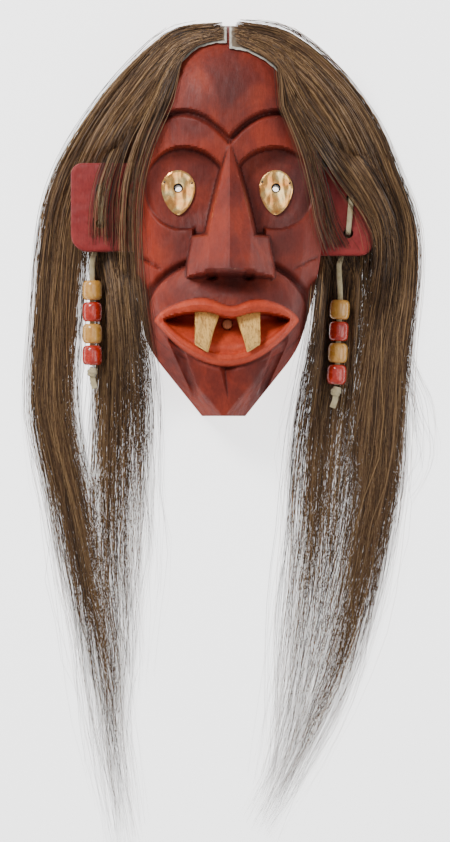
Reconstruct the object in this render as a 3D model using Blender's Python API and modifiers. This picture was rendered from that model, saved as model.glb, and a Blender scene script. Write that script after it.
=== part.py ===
"""A carved wooden face mask with horsehair, copper eye plates, peg teeth and beaded thongs.

It lies on its back: +Z points out of the face, +Y up the face, and left and right are as the
viewer sees them. The carving is laid out on a drawing, one drawn unit to a millimetre of the
real mask, which world() stretches to the face's real width, height and depth.
"""

import math

import bmesh
import bpy
import numpy as np
from mathutils import Vector

# The face, in metres: across the cheekbones, chin to crown, and back rim to nose tip.
FACE_WIDTH = 0.1336
FACE_HEIGHT = 0.272
FACE_DEPTH = 0.106
RIM_WIDTH = 0.011
RIM_SEAT_UP = 0.005
CARVING_COLUMNS = 190
CARVING_ROWS = 270
CARVING_KEPT = 0.016
HOLLOW_COLUMNS = 20
HOLLOW_ROWS = 26
HEAD_SPACE_COLUMNS = 14
HEAD_SPACE_ROWS = 18
HIDE_COLUMNS = 9
HIDE_ROWS = 5

# Clearances: between pieces that touch, and over the faceted carving.
TOUCH_GAP = 0.0003
CARVING_GAP = 0.0006

EYE_BORE = 0.0046
PLATE_BORE = 0.0066
PLATE_WIDTH = 0.0236
PLATE_ABOVE_EYE = 0.0125
PLATE_BELOW_EYE = 0.0189
PLATE_THICKNESS = 0.0009
TACK_HEAD = 0.0024
TACK_HEAD_HEIGHT = 0.0009
TACK_SHANK = 0.0011
TACK_LENGTH = 0.0052
TACK_SIDES = 6
EYE_BORE_FROM = 0.02
CUTTER_OVERRUN = 0.002

TOOTH_LENGTH = 0.030
TOOTH_ROOT_WIDTH = 0.0185
TOOTH_TIP_WIDTH = 0.0102
TOOTH_THICKNESS = 0.0064
TOOTH_SLANT = 0.0021
TOOTH_BACK = 0.0105
TOOTH_TILT = math.radians(22.0)
TOOTH_SPLAY = math.radians(9.0)
STUB_DIAMETER = 0.0074
STUB_LENGTH = 0.012
STUB_OUT = 0.006
STUB_SIDES = 8

EAR_THICKNESS = 0.011
EAR_EDGE_ROUNDING = 0.0016
EAR_ROOT = 0.006
THONG_HOLE_SIDES = 10
THONG_HOLE = 0.0072

HIDE_THICKNESS = 0.0025
PARTING = 0.002
LOCK_THICKNESS = 0.0075
LOCK_SUNK = 0.003
HAIR_GAP = 0.001

THONG_DIAMETER = 0.004
BEAD_DIAMETER = 0.014
BEAD_LENGTH = 0.0138
BEAD_PITCH = 0.0154
BEAD_COUNT = 4
KNOT_LENGTH = 0.009
KNOT_DIAMETER = 0.0075
TAIL_LENGTH = 0.007
TAIL_SWING = 0.0021
BEAD_SIDES = 10
STITCH_STATIONS = 20
THONG_STATIONS = 16
# How far along the ear the stitch takes to turn into a hole, and how far it rises there, both
# as shares of the thong's diameter.
STITCH_TURN = 0.85
STITCH_RISE = 0.4
STITCH_BOW = 0.0006

SIDES = {"left": -1.0, "right": 1.0}

# The drawing's own width, height and depth.
DRAWN = np.array([133.6, 272.0, 106.0])
SCALE = np.array([FACE_WIDTH, FACE_HEIGHT, FACE_DEPTH]) / DRAWN
ORIGIN = np.array([0.0, RIM_SEAT_UP, 0.0])


def world(points):
    """Drawn points in metres, with the origin on the rim below the chin."""
    return np.asarray(points, float) * SCALE - ORIGIN


def drawn(length, axis=2):
    """A real length in drawn units, along X, Y or Z."""
    return length / SCALE[axis]


def ease(low, high, value):
    """0 at low and 1 at high, with a smooth run between them. High may be the lower number."""
    share = np.clip((value - low) / (high - low), 0.0, 1.0)
    return share * share * (3.0 - 2.0 * share)


def soft_min(a, b, radius):
    share = np.clip(0.5 + 0.5 * (b - a) / radius, 0.0, 1.0)
    return b + (a - b) * share - radius * share * (1.0 - share)


def soft_max(a, b, radius):
    return -soft_min(-a, -b, radius)


# Plan of the face, in drawn units: an oval, widest at the eyes, cut by two straight jaw lines.
WIDEST_Y = 151.0
OVAL_ABOVE = 122.5
OVAL_BELOW = 166.0
OVAL_ACROSS = 2.2
OVAL_UP = 2.35
CHIN_HALF_WIDTH = 15.3
JAW_SLOPE = 0.80
JAW_ROUNDING = 5.0
CHIN_LEAN = -3.1
CHIN_LEAN_RUN = (120.0, 45.0)
JAW_FACET_RUN = (150.0, 128.0)


def centre_line(y):
    """The face leans a little to one side towards the chin."""
    return CHIN_LEAN * ease(*CHIN_LEAN_RUN, y)


def half_width(y):
    above = np.clip((y - WIDEST_Y) / OVAL_ABOVE, 0.0, 1.0)
    below = np.clip((WIDEST_Y - y) / OVAL_BELOW, 0.0, 1.0)
    upper = (1.0 - above**OVAL_UP) ** (1.0 / OVAL_ACROSS)
    oval = DRAWN[0] / 2 * np.where(y > WIDEST_Y, upper, np.sqrt(1.0 - below**2))
    return soft_min(oval, CHIN_HALF_WIDTH + JAW_SLOPE * y, JAW_ROUNDING)


def top_edge(x):
    """The height on the drawing at which the oval's upper half has this half width."""
    share = np.clip(np.abs(x) / (DRAWN[0] / 2), 0.0, 1.0)
    return WIDEST_Y + OVAL_ABOVE * (1.0 - share**OVAL_ACROSS) ** (1.0 / OVAL_UP)


# Heights above the back rim, in drawn units.
EDGE_HEIGHT = 44.0
FOREHEAD_HEIGHT = 80.0
CHEEK_HEIGHT = 69.0
CHIN_HEIGHT = 58.0
FOREHEAD_Y = 205.0
CHEEK_RUN = (186.0, 130.0)
CHIN_RUN = (52.0, -8.0)


def crown(y):
    """Height of the plain face along its middle, before any feature is cut."""
    rise = np.clip((y - FOREHEAD_Y) / (DRAWN[1] + 2.0 - FOREHEAD_Y), 0.0, 1.0)
    z = EDGE_HEIGHT + (FOREHEAD_HEIGHT - EDGE_HEIGHT) * np.sqrt(1.0 - rise**2.2)
    z = z + (CHEEK_HEIGHT - z) * ease(*CHEEK_RUN, y)
    return z - (CHEEK_HEIGHT - CHIN_HEIGHT) * ease(*CHIN_RUN, y)


def dome(x, y):
    """The plain face, domed across, with a flat facet along each cheek and jaw."""
    width = half_width(y)
    off = np.abs(x - centre_line(y))
    share = np.clip(off / np.maximum(width, 1e-6), 0.0, 1.0)
    edge = EDGE_HEIGHT - 4.0 * ease(30.0, 0.0, y)
    z = edge + (crown(y) - edge) * (1.0 - share**2.5) ** 0.55
    facet = edge - 1.0 + 1.35 * (width - off)
    return z + (soft_min(z, facet, 1.2) - z) * ease(*JAW_FACET_RUN, y)


def above_dome(x, y, gap):
    """The plain face raised by a gap measured square to its slope, in drawn units."""
    step = 0.5
    across = (dome(x + step, y) - dome(x - step, y)) / (2 * step)
    up = (dome(x, y + step) - dome(x, y - step)) / (2 * step)
    return dome(x, y) + gap * np.minimum(np.sqrt(1.0 + across**2 + up**2), 4.0)


# Brows: the forehead ends in a sharp lip, over a groove, over a lower band.
NOSE_X = 0.9
BROW_PEAK = (33.0, 209.6)
BROW_BEND = 0.0177
BAND_DROP = 4.0
GROOVE_DROP = 7.6


def brow_step(x, y):
    off = np.abs(x - NOSE_X)
    line = BROW_PEAK[1] - BROW_BEND * (off - BROW_PEAK[0]) ** 2
    slope = 2.0 * BROW_BEND * (off - BROW_PEAK[0])
    up = (y - line) / np.sqrt(1.0 + slope**2)
    lip = -GROOVE_DROP * ease(3.0, 0.0, up)
    band = -BAND_DROP - (GROOVE_DROP - BAND_DROP) * ease(-3.6, -0.3, up)
    band = band * ease(-70.0, -30.0, up)
    return np.where(up > 0.0, lip, band) * ease(62.0, 50.0, off)


# Eye sockets: sunk ovals, each with a square notch beside the nose.
SOCKET_CENTRE = (32.4, 157.6)
SOCKET_HALF_HEIGHT = 28.4
SOCKET_OUT = 26.4
SOCKET_IN = 31.0
SOCKET_FLOOR = 58.5
NOTCH_CENTRE = (18.0, 130.0)
NOTCH_HALF = (6.8, 6.8)


def cut_sockets(x, y, z):
    off = np.abs(x - NOSE_X)
    out = off - SOCKET_CENTRE[0]
    reach = np.where(out < 0.0, SOCKET_IN, SOCKET_OUT)
    ring = np.sqrt((out / reach) ** 2 + ((y - SOCKET_CENTRE[1]) / SOCKET_HALF_HEIGHT) ** 2)
    notch = soft_max(
        np.abs(off - NOTCH_CENTRE[0]) - NOTCH_HALF[0],
        np.abs(y - NOTCH_CENTRE[1]) - NOTCH_HALF[1],
        0.5,
    )
    outside = soft_min((ring - 1.0) * 26.0, notch, 1.0)
    floor = SOCKET_FLOOR + 1.8 * ease(0.62, 1.05, ring)
    floor = soft_min(floor, dome(x, y) - 3.4, 2.0)
    return z + (np.minimum(floor, z) - z) * ease(1.0, -1.2, outside)


# Muzzle: a low swelling round the mouth, parted from the cheeks by two smile creases.
MUZZLE_CENTRE = (-0.6, 72.0)
MUZZLE_HALF = (56.0, 37.5)
MUZZLE_RISE = 11.0
CREASE_DEPTH = 5.4


def muzzle(x, y):
    ring = np.sqrt(
        ((x - MUZZLE_CENTRE[0]) / MUZZLE_HALF[0]) ** 2
        + ((y - MUZZLE_CENTRE[1]) / MUZZLE_HALF[1]) ** 2
    )
    rise = MUZZLE_RISE * np.clip(1.0 - ring**2.2, 0.0, 1.0) ** 0.7 * ease(28.0, 50.0, y)
    out = (ring - 1.0) * 42.0
    crease = np.where(out > 0.0, ease(5.0, 0.0, out), ease(-1.6, 0.0, out))
    along = ease(74.0, 90.0, y) * ease(20.0, 32.0, np.abs(x - NOSE_X))
    return rise, -CREASE_DEPTH * crease * along


# Nose: a straight ridge with two flat sides, and square wings below.
NOSE_ROOT_Y = 190.0
NOSE_BOTTOM_Y = 99.4
NOSE_ROOT_HEIGHT = 75.0
WING_TOP_Y = 123.4
BLADE_HALF = (14.6, 16.4)
WING_HALF = (25.6, 26.6)
WING_SPREAD = 3.0
FACET_SLOPE = 0.55
WING_SLOPE = 1.15
WALL_SLOPE = 6.5


def nose(x, y):
    left = x < NOSE_X + 0.3
    off = np.abs(x - NOSE_X - 0.3)
    run = np.clip((NOSE_ROOT_Y - y) / (NOSE_ROOT_Y - NOSE_BOTTOM_Y), 0.0, 1.3)
    ridge = NOSE_ROOT_HEIGHT + (DRAWN[2] + 1.0 - NOSE_ROOT_HEIGHT) * run
    blade_run = np.clip((NOSE_ROOT_Y - y) / (NOSE_ROOT_Y - WING_TOP_Y), 0.0, 1.4)
    blade_half = np.where(left, BLADE_HALF[0], BLADE_HALF[1]) * blade_run**0.9
    wing_half = np.where(left, WING_HALF[0], WING_HALF[1])
    wing_half = wing_half + WING_SPREAD * ease(WING_TOP_Y, NOSE_BOTTOM_Y, y)
    front = ridge - FACET_SLOPE * off
    front = front - (WING_SLOPE - FACET_SLOPE) * np.clip(off - 14.0, 0.0, None)
    blade = front - WALL_SLOPE * np.clip(off - blade_half, 0.0, None)
    wing_out = soft_max(off - wing_half, y - WING_TOP_Y, 0.6)
    wings = front - WALL_SLOPE * np.clip(wing_out, 0.0, None)
    shape = np.maximum(blade, wings)
    shape = shape - 8.0 * np.clip(NOSE_BOTTOM_Y - 0.004 * off**2 - y, 0.0, None)
    return shape - 2.0 * np.clip(y - NOSE_ROOT_Y + 1.0, 0.0, None)


NOSTRILS = ((-11.5, 97.0), (14.0, 97.0))
# The scoop below the nose deepens up to it, and stops at its foot.
SCOOP_DEEPENS = (82.0, 95.0)
SCOOP_STOPS = (100.5, 98.0)


def under_nose(x, y):
    hollow = np.exp(-(((x - 1.5) / 19.0) ** 2)) * ease(*SCOOP_DEEPENS, y) * ease(*SCOOP_STOPS, y)
    z = -5.0 * hollow
    for pit_x, pit_y in NOSTRILS:
        ring = np.sqrt(((x - pit_x) / 5.0) ** 2 + ((y - pit_y) / 3.4) ** 2)
        z = z - 7.0 * ease(1.15, 0.5, ring)
    return z


# Mouth: two bowed lips round a hollow that deepens towards the palate.
MOUTH_X = -0.9
MOUTH_Y = 66.0
LIPS_HALF = 50.3
GAP_HALF = 43.8
LIP_RISE = 3.6
PALATE_DEPTH = 17.0
# Rise above the mouth's corners, dip in the middle, and drop below them: the lips, then the gap.
LIPS_BOW = (17.0, 7.6, 31.5)
GAP_BOW = (7.2, 5.4, 23.6)


def bow(x, half, up, dip, down):
    """Upper and lower edge of a bowed almond: its height, the dip at its middle, its drop."""
    share = np.clip(np.abs(x - MOUTH_X) / half, 0.0, 1.0)
    dipped = dip * np.exp(-(((x - 1.6) / 13.0) ** 2))
    upper = MOUTH_Y + up * (1.0 - share**2) ** 0.62 - dipped
    return upper, MOUTH_Y - down * (1.0 - share**2)


def carve_mouth(x, y, z, plain):
    outer_up, outer_down = bow(x, LIPS_HALF, *LIPS_BOW)
    inner_up, inner_down = bow(x, GAP_HALF, *GAP_BOW)
    outside = 0.85 * np.maximum(y - outer_up, outer_down - y)
    outside = np.maximum(outside, np.abs(x - MOUTH_X) - LIPS_HALF)
    beyond = 0.85 * np.maximum(y - inner_up, inner_down - y)
    beyond = np.maximum(beyond, np.abs(x - MOUTH_X) - GAP_HALF)
    lips = LIP_RISE * ease(0.5, -1.2, outside) + 1.4 * ease(-1.0, -4.0, outside)
    roll = -3.0 * ease(4.0, 0.0, beyond) * ease(0.4, -0.6, outside)
    below = -1.8 * ease(3.0, 0.2, outside) * ease(64.0, 50.0, y)
    z = z + lips + roll + below
    share = np.clip((y - inner_down) / np.maximum(inner_up - inner_down, 1e-3), 0.0, 1.0)
    cavity = plain - 3.5 - PALATE_DEPTH * ease(0.0, 0.85, share)
    z = z + (np.minimum(cavity, z) - z) * ease(0.4, -1.0, beyond)
    return z, outside


# Chin: a notch under the lip, and a flute down each side of the jaw.
NOTCH_APEX_Y = 10.5
NOTCH_TOP_Y = 36.0
# Across the notch's top: its left edge, its deepest line and its right edge.
NOTCH_ACROSS = (-6.6, -2.2, 7.2)
NOTCH_DEPTH = 6.4


def cut_chin(x, y, z, outside_lips):
    share = np.clip((y - NOTCH_APEX_Y) / (NOTCH_TOP_Y - NOTCH_APEX_Y), 0.0, 1.0)
    left, deepest, right = (place * np.maximum(share, 1e-3) for place in NOTCH_ACROSS)
    across = np.minimum((x - left) / (deepest - left), (right - x) / (right - deepest))
    cut = NOTCH_DEPTH * share * np.clip(across, 0.0, 1.0) * ease(46.0, 40.0, y)
    down = np.clip((52.0 - y) / 36.0, 0.0, 1.0)
    off = (np.abs(x - 0.2) - (37.0 - 14.0 * down)) / (4.8 - 2.0 * down)
    flute = np.clip(1.0 - off**2, 0.0, 1.0) * ease(10.0, 24.0, y) * ease(60.0, 52.0, y)
    return z - (cut + 4.6 * flute) * ease(0.0, 1.0, outside_lips)


WRINKLES = ((57.5, 108.6, 1.0), (51.5, 104.4, 0.8))


def cut_wrinkles(x, y, z):
    """Two short gouged lines at the edge of each cheek, deeper on the left."""
    off = np.abs(x - centre_line(y))
    for at_x, at_y, strength in WRINKLES:
        along = (off - at_x) / 6.5
        up = (y - at_y - 0.45 * (off - at_x)) / 2.2
        gouge = np.where(up > 0.0, ease(1.8, 0.0, up), ease(-0.6, 0.0, up))
        side = np.where(x < 0.0, 1.0, 0.6)
        z = z - 3.2 * strength * side * np.clip(1.0 - along**2, 0.0, 1.0) * gouge
    return z


def carving(x, y):
    """Height of the finished front over the drawing, in drawn units."""
    plain = dome(x, y)
    z = cut_sockets(x, y, plain + brow_step(x, y))
    rise, crease = muzzle(x, y)
    z = soft_max(z + rise + crease, nose(x, y), 1.0) + under_nose(x, y)
    z, outside_lips = carve_mouth(x, y, z, plain + rise)
    z = cut_chin(x, y, z, outside_lips)
    return cut_wrinkles(x, y, z)


# The hollow at the back, kept clear of the deepest carving.
UNDER_RIM = -5.0
HOLLOW_HEIGHT = 47.0
HOLLOW_FOREHEAD = 62.0
HOLLOW_CHIN = 38.0
HOLLOW_UPPER_RUN = (188.0, 214.0)
HOLLOW_LOWER_RUN = (50.0, 14.0)


def hollow_y(y):
    """A height on the face moved in from the chin and the crown by the rim's width."""
    rim = drawn(RIM_WIDTH, 1)
    return (y - rim) * DRAWN[1] / (DRAWN[1] - 2.0 * rim)


def hollow_half_width(y):
    return half_width(hollow_y(y)) * (1.0 - 2.0 * RIM_WIDTH / FACE_WIDTH)


def hollow(x, y):
    share = np.clip(np.abs(x - centre_line(y)) / hollow_half_width(y), 0.0, 1.0)
    depth = HOLLOW_HEIGHT + (HOLLOW_FOREHEAD - HOLLOW_HEIGHT) * ease(*HOLLOW_UPPER_RUN, y)
    depth = depth + (HOLLOW_CHIN - HOLLOW_HEIGHT) * ease(*HOLLOW_LOWER_RUN, y)
    along = np.abs(2.0 * hollow_y(y) / DRAWN[1] - 1.0)
    ends = np.sqrt(np.clip(1.0 - along**7, 0.0, 1.0))
    return depth * (1.0 - share**3.6) ** 0.6 * ends


# Places on the drawing of what is set in or laid on the face, in drawn units.
EYES = {"left": (-34.6, 158.3), "right": (33.3, 158.3)}
TACKS_ROUND_EYE = ((-9.4, 4.2), (9.4, 3.4), (0.0, -17.2))
TEETH = {"left": (-16.0, 61.0), "right": (15.4, 61.0)}
TOOTH_FRONT = 84.0
STUB = (-0.4, 63.6)
EAR_OUT = {"left": -110.8, "right": 102.4}
EAR_BOTTOM = {"left": 116.0, "right": 113.2}
EAR_TALL = 62.5
EAR_BACK = 21.0
EAR_CORNERS = {"left": (8.0, 12.0), "right": (9.0, 9.0)}
STITCH_HOLES = {
    "left": ((-89.6, 160.3), (-89.6, 135.8)),
    "right": ((86.8, 153.3), (84.7, 128.8)),
}
HIDE_LOWER = {"left": (257.8, 0.000418, 3.0), "right": (253.6, 0.0131, 2.0)}
HIDE_END = 44.0
HIDE_SET_IN = 2.2
THONG_EXIT = {"left": (-95.2, 113.6), "right": (79.8, 110.6)}
FIRST_BEAD = {"left": (-96.5, 89.4), "right": (79.5, 75.6)}
BEAD_LEAN = {"left": 0.0, "right": 0.045}
BEAD_AXIS_HEIGHT = 12.9

# Locks of hair, from the outer one inwards: whether it lies over the ear instead of behind it,
# its width, and the points of its route over the drawing, from the parting down.
LOCKS = {
    "left": (
        (False, 15, ((-3, 269), (-36, 262), (-71, 232), (-98, 198), (-115, 164), (-123, 129),
                     (-127, 67), (-128, 5), (-113, -60), (-101, -127), (-86, -207),
                     (-76, -280), (-71, -314))),
        (False, 15, ((-3, 267), (-35, 259), (-64, 227), (-88, 195), (-104, 162), (-112, 127),
                     (-118, 67), (-119, -8), (-108, -92), (-100, -127), (-86, -176),
                     (-81, -215))),
        (False, 14, ((-3, 265), (-34, 256), (-57, 223), (-78, 192), (-91, 160), (-90, 122),
                     (-83, 70), (-84, -8), (-85, -78), (-81, -167), (-83, -235),
                     (-73, -298))),
        (True, 8, ((-5, 264), (-36, 253), (-60, 219), (-79, 186), (-88, 158), (-90, 130),
                   (-87, 95), (-80, 30), (-76, -40), (-74, -110))),
        (True, 11, ((-4, 262), (-33, 252), (-51, 219), (-66, 188), (-75, 158), (-77, 130),
                    (-76, 95), (-72, 36), (-74, -45), (-77, -122), (-76, -202))),
        (True, 11, ((-4, 261), (-32, 250), (-48, 214), (-60, 186), (-67, 158), (-69, 120),
                    (-66, 70), (-59, 3), (-63, -59), (-60, -94), (-63, -195))),
        (False, 12, ((-6, 262), (-34, 250), (-52, 219), (-68, 189), (-74, 155), (-72, 112),
                     (-68, 60), (-65, 0), (-68, -60), (-69, -120), (-71, -180))),
    ),
    "right": (
        (False, 15, ((4, 270), (37, 262), (71, 238), (97, 206), (113, 168), (125, 131),
                     (124, 90), (117, 40), (111, -36), (102, -82), (92, -130), (76, -191),
                     (50, -249), (24, -300))),
        (False, 15, ((4, 267), (35, 258), (65, 232), (89, 199), (106, 163), (116, 128),
                     (112, 62), (104, 0), (101, -68), (85, -140), (66, -202), (44, -253),
                     (31, -274))),
        (True, 12, ((5, 265), (34, 253), (56, 224), (78, 193), (98, 163), (112, 134),
                    (114, 100), (104, 40), (94, -30), (72, -148), (54, -214), (44, -244))),
        (True, 11, ((6, 263), (33, 247), (50, 216), (68, 189), (86, 165), (102, 142),
                    (111, 115), (106, 70), (94, 0), (82, -75), (68, -130))),
        (False, 14, ((7, 261), (33, 247), (48, 213), (69, 186), (82, 152), (84, 112),
                     (80, 52), (71, -27), (64, -103), (56, -181), (36, -260), (23, -288))),
        (False, 13, ((6, 262), (34, 249), (50, 216), (70, 187), (75, 160), (73, 120),
                     (67, 50), (58, -26), (53, -100), (44, -185), (35, -245), (28, -275))),
        (True, 9, ((8, 259), (31, 242), (42, 213), (54, 186), (63, 157), (70, 130),
                   (82, 104), (92, 76), (96, 40), (90, -10), (84, -60))),
        (False, 8, ((112, 120), (121, 57), (132, 1), (135, -22), (131, -45), (125, -62))),
    ),
}
# Shares of a lock's length, and there the shares of its full width and full thickness.
LOCK_SPREAD = ((0.0, 0.1, 0.35, 0.6, 0.85, 1.0), (0.7, 1.25, 1.15, 0.95, 0.62, 0.2))
LOCK_TALL = ((0.0, 0.15, 0.7, 1.0), (0.7, 1.0, 0.8, 0.25))
LOCK_STATIONS = 11
LOCK_CROWDING = 1.35
LOCK_SIDES = 5
HEAD_FULLNESS = 0.95
# How steeply hair that goes behind an ear rises again round it.
EAR_TUCK = 2.0
EAR_TUCK_GAP = 1.0
# How far out the hair takes to fall from the head, from the side of the face over the ear,
# and from the ear's own edge, to the ground.
HEAD_FALL = 46.0
CHEEK_FALL = 26.0
EAR_FALL = 24.0
CROWN_REACH = 62.0
OVER_EAR_FROM = (-6.0, 40.0)


def smooth_route(points, count, crowding=1.0):
    """Count points along a smooth curve through the route's own points.

    They are at equal steps, or crowd towards its start.
    """
    points = np.asarray(points, float)
    ends = np.vstack([2 * points[0] - points[1], points, 2 * points[-1] - points[-2]])
    steps = np.linspace(0.0, 1.0, 24, endpoint=False)[:, None]
    fine = []
    for a, b, c, d in zip(ends, ends[1:], ends[2:], ends[3:]):
        fine.append(
            0.5
            * (
                2 * b
                + (c - a) * steps
                + (2 * a - 5 * b + 4 * c - d) * steps**2
                + (3 * b - a - 3 * c + d) * steps**3
            )
        )
    fine = np.vstack([*fine, points[-1:]])
    along = np.concatenate([[0.0], np.cumsum(np.linalg.norm(np.diff(fine, axis=0), axis=1))])
    at = along[-1] * np.linspace(0.0, 1.0, count) ** crowding
    return np.stack([np.interp(at, along, axis) for axis in fine.T], axis=1)


def fuller_head(x, y):
    """The plain face made fuller towards its outline, which the hair is kept clear of."""
    middle = centre_line(y)
    x = middle + (x - middle) * HEAD_FULLNESS
    return dome(x, np.minimum(y, DRAWN[1] - 3.0)) + drawn(HAIR_GAP)


def hide_lower_edge(side, x):
    top, bend, power = HIDE_LOWER[side]
    return top - bend * np.abs(x) ** power


def hair_bed(side, x, y, over_ear):
    """What the hair lies on, in drawn units: the head, the hide, the ear or the floor."""
    share = np.clip(np.abs(x) / (DRAWN[0] / 2), 0.0, 3.0)
    rise = np.clip((y - WIDEST_Y) / OVAL_ABOVE, 0.0, 2.0)
    past = (share**OVAL_ACROSS + rise**OVAL_UP) ** (1.0 / OVAL_ACROSS)
    out = np.where(y > WIDEST_Y, (past - 1.0) * CROWN_REACH, np.abs(x - centre_line(y)) - half_width(y))
    inside_y = np.clip(y, 1.0, DRAWN[1] - 1.0)
    limit = half_width(inside_y) - 0.3
    inside_x = centre_line(inside_y) + np.clip(x - centre_line(inside_y), -limit, limit)
    head = np.maximum(
        above_dome(inside_x, inside_y, drawn(CARVING_GAP)), fuller_head(inside_x, inside_y)
    )
    on_hide = ease(-8.0, 1.0, y - hide_lower_edge(side, x)) * ease(54.0, 46.0, np.abs(x))
    head = head + drawn(HIDE_THICKNESS + 2 * TOUCH_GAP) * on_hide
    fall = ease(HEAD_FALL, -2.0, out)
    if over_ear:
        fall = ease(CHEEK_FALL, -2.0, out) * ease(*OVER_EAR_FROM, y)
    bed = head * np.where(out < 0.0, 1.0, fall)
    ear_top = EAR_BACK + drawn(EAR_THICKNESS + TOUCH_GAP)
    reach = np.maximum(
        np.abs(y - EAR_BOTTOM[side] - EAR_TALL / 2) - EAR_TALL / 2,
        np.abs(x) - abs(EAR_OUT[side]),
    )
    if over_ear:
        bed = np.maximum(bed, ear_top * ease(EAR_FALL, 0.0, reach))
    else:
        under = EAR_BACK - drawn(LOCK_THICKNESS) - EAR_TUCK_GAP
        bed = np.minimum(bed, under + EAR_TUCK * np.clip(reach - 2.0, 0.0, None))
    return np.maximum(bed, 0.0)


def new_material(name, colour, roughness, metallic=0.0):
    material = bpy.data.materials.new(name)
    material.use_nodes = True
    shader = material.node_tree.nodes["Principled BSDF"]
    shader.inputs["Base Color"].default_value = (*colour, 1.0)
    shader.inputs["Roughness"].default_value = roughness
    shader.inputs["Metallic"].default_value = metallic
    material.diffuse_color = (*colour, 1.0)
    return material


def new_object(name, mesh, collection, material=None):
    obj = bpy.data.objects.new(name, mesh)
    collection.objects.link(obj)
    if material:
        mesh.materials.append(material)
    return obj


def object_from(name, bm, collection, material=None, smooth=False):
    mesh = bpy.data.meshes.new(name)
    bmesh.ops.recalc_face_normals(bm, faces=bm.faces)
    if bm.calc_volume(signed=True) < 0.0:
        bmesh.ops.reverse_faces(bm, faces=bm.faces)
    bm.to_mesh(mesh)
    bm.free()
    if smooth:
        mesh.shade_smooth()
        mesh.set_sharp_from_angle(angle=math.radians(40.0))
    return new_object(name, mesh, collection, material)


def cutter_from(name, bm, collection):
    """A helper that cuts or joins, and is itself left out of the part."""
    cutter = object_from(name, bm, collection)
    cutter.hide_render = True
    cutter.display_type = "WIRE"
    return cutter


def combine(target, helper, operation, solver="EXACT"):
    modifier = target.modifiers.new(helper.name, "BOOLEAN")
    modifier.operation = operation
    modifier.object = helper
    modifier.solver = solver


def as_mesh(obj, collection, material=None):
    """A curve object made a mesh, with its caps welded to its sides."""
    graph = bpy.context.evaluated_depsgraph_get()
    mesh = bpy.data.meshes.new_from_object(obj.evaluated_get(graph))
    bm = bmesh.new()
    bm.from_mesh(mesh)
    bmesh.ops.remove_doubles(bm, verts=bm.verts, dist=1e-6)
    bmesh.ops.recalc_face_normals(bm, faces=bm.faces)
    bm.to_mesh(mesh)
    bm.free()
    made = new_object(obj.name + "_mesh", mesh, collection, material)
    made.matrix_world = obj.matrix_world.copy()
    name = obj.name
    bpy.data.objects.remove(obj)
    made.name = name
    return made


def keep_largest(obj):
    """Applies an object's modifiers and drops the crumbs and pockets that its cuts leave."""
    graph = bpy.context.evaluated_depsgraph_get()
    mesh = bpy.data.meshes.new_from_object(obj.evaluated_get(graph))
    bm = bmesh.new()
    bm.from_mesh(mesh)
    left = set(bm.faces)
    bodies = []
    while left:
        waiting = [left.pop()]
        body = set(waiting)
        while waiting:
            face = waiting.pop()
            near = {other for edge in face.edges for other in edge.link_faces} & left
            left -= near
            body |= near
            waiting.extend(near)
        bodies.append(body)
    largest = max(bodies, key=lambda faces: sum(face.calc_area() for face in faces))
    crumbs = [face for face in bm.faces if face not in largest]
    bmesh.ops.delete(bm, geom=crumbs, context="FACES")
    bm.to_mesh(mesh)
    bm.free()
    obj.modifiers.clear()
    obj.data = mesh


def tube(name, route, diameter, collection, material):
    """A round cord along a route in metres."""
    curve = bpy.data.curves.new(name, "CURVE")
    curve.dimensions = "3D"
    curve.bevel_depth = diameter / 2
    curve.bevel_resolution = 2
    curve.use_fill_caps = True
    spline = curve.splines.new("POLY")
    spline.points.add(len(route) - 1)
    for point, place in zip(spline.points, route):
        point.co = (*place, 1.0)
    curve.materials.append(material)
    obj = bpy.data.objects.new(name, curve)
    collection.objects.link(obj)
    return obj


def plate(name, outline, thickness, collection, material=None):
    """A flat piece from its outline in metres, centred on its own thickness."""
    curve = bpy.data.curves.new(name, "CURVE")
    curve.dimensions = "2D"
    curve.fill_mode = "BOTH"
    curve.extrude = thickness / 2
    spline = curve.splines.new("POLY")
    spline.points.add(len(outline) - 1)
    for point, (x, y) in zip(spline.points, outline):
        point.co = (x, y, 0.0, 1.0)
    spline.use_cyclic_u = True
    obj = bpy.data.objects.new(name, curve)
    collection.objects.link(obj)
    return as_mesh(obj, collection, material)


def sculpted(columns, rows, bottom, top, centre, half, height, floor):
    """A closed body on a flat floor: a grid shaped to a plan and a height, in drawn units.

    Its lines crowd towards the outline, where the surface turns down.
    """
    bm = bmesh.new()
    bmesh.ops.create_grid(bm, x_segments=columns, y_segments=rows, size=1.0)
    rim = [edge for edge in bm.edges if edge.is_boundary]
    sides = bmesh.ops.extrude_edge_only(bm, edges=rim)["geom"]
    base = [vert for vert in sides if isinstance(vert, bmesh.types.BMVert)]
    base_edges = [edge for edge in sides if isinstance(edge, bmesh.types.BMEdge)]
    for vert in base:
        vert.co.z = -1.0
    bmesh.ops.contextual_create(bm, geom=[edge for edge in base_edges if edge.is_boundary])
    spots = np.array([vert.co for vert in bm.verts])
    across, up = np.sin(spots[:, :2].T * math.pi / 2)
    y = bottom + (top - bottom) * (up + 1.0) / 2
    x = centre(y) + across * half(y)
    z = np.where(spots[:, 2] < -0.5, floor, height(x, y))
    for vert, place in zip(bm.verts, world(np.stack([x, y, z], axis=1))):
        vert.co = place
    return bm


def cylinder(diameter, low, high, x, y, sides=12):
    """A round cutter or pin along Z, in metres."""
    bm = bmesh.new()
    bmesh.ops.create_cone(
        bm,
        cap_ends=True,
        segments=sides,
        radius1=diameter / 2,
        radius2=diameter / 2,
        depth=high - low,
    )
    bmesh.ops.translate(bm, verts=bm.verts, vec=(x, y, (high + low) / 2))
    return bm


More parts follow.
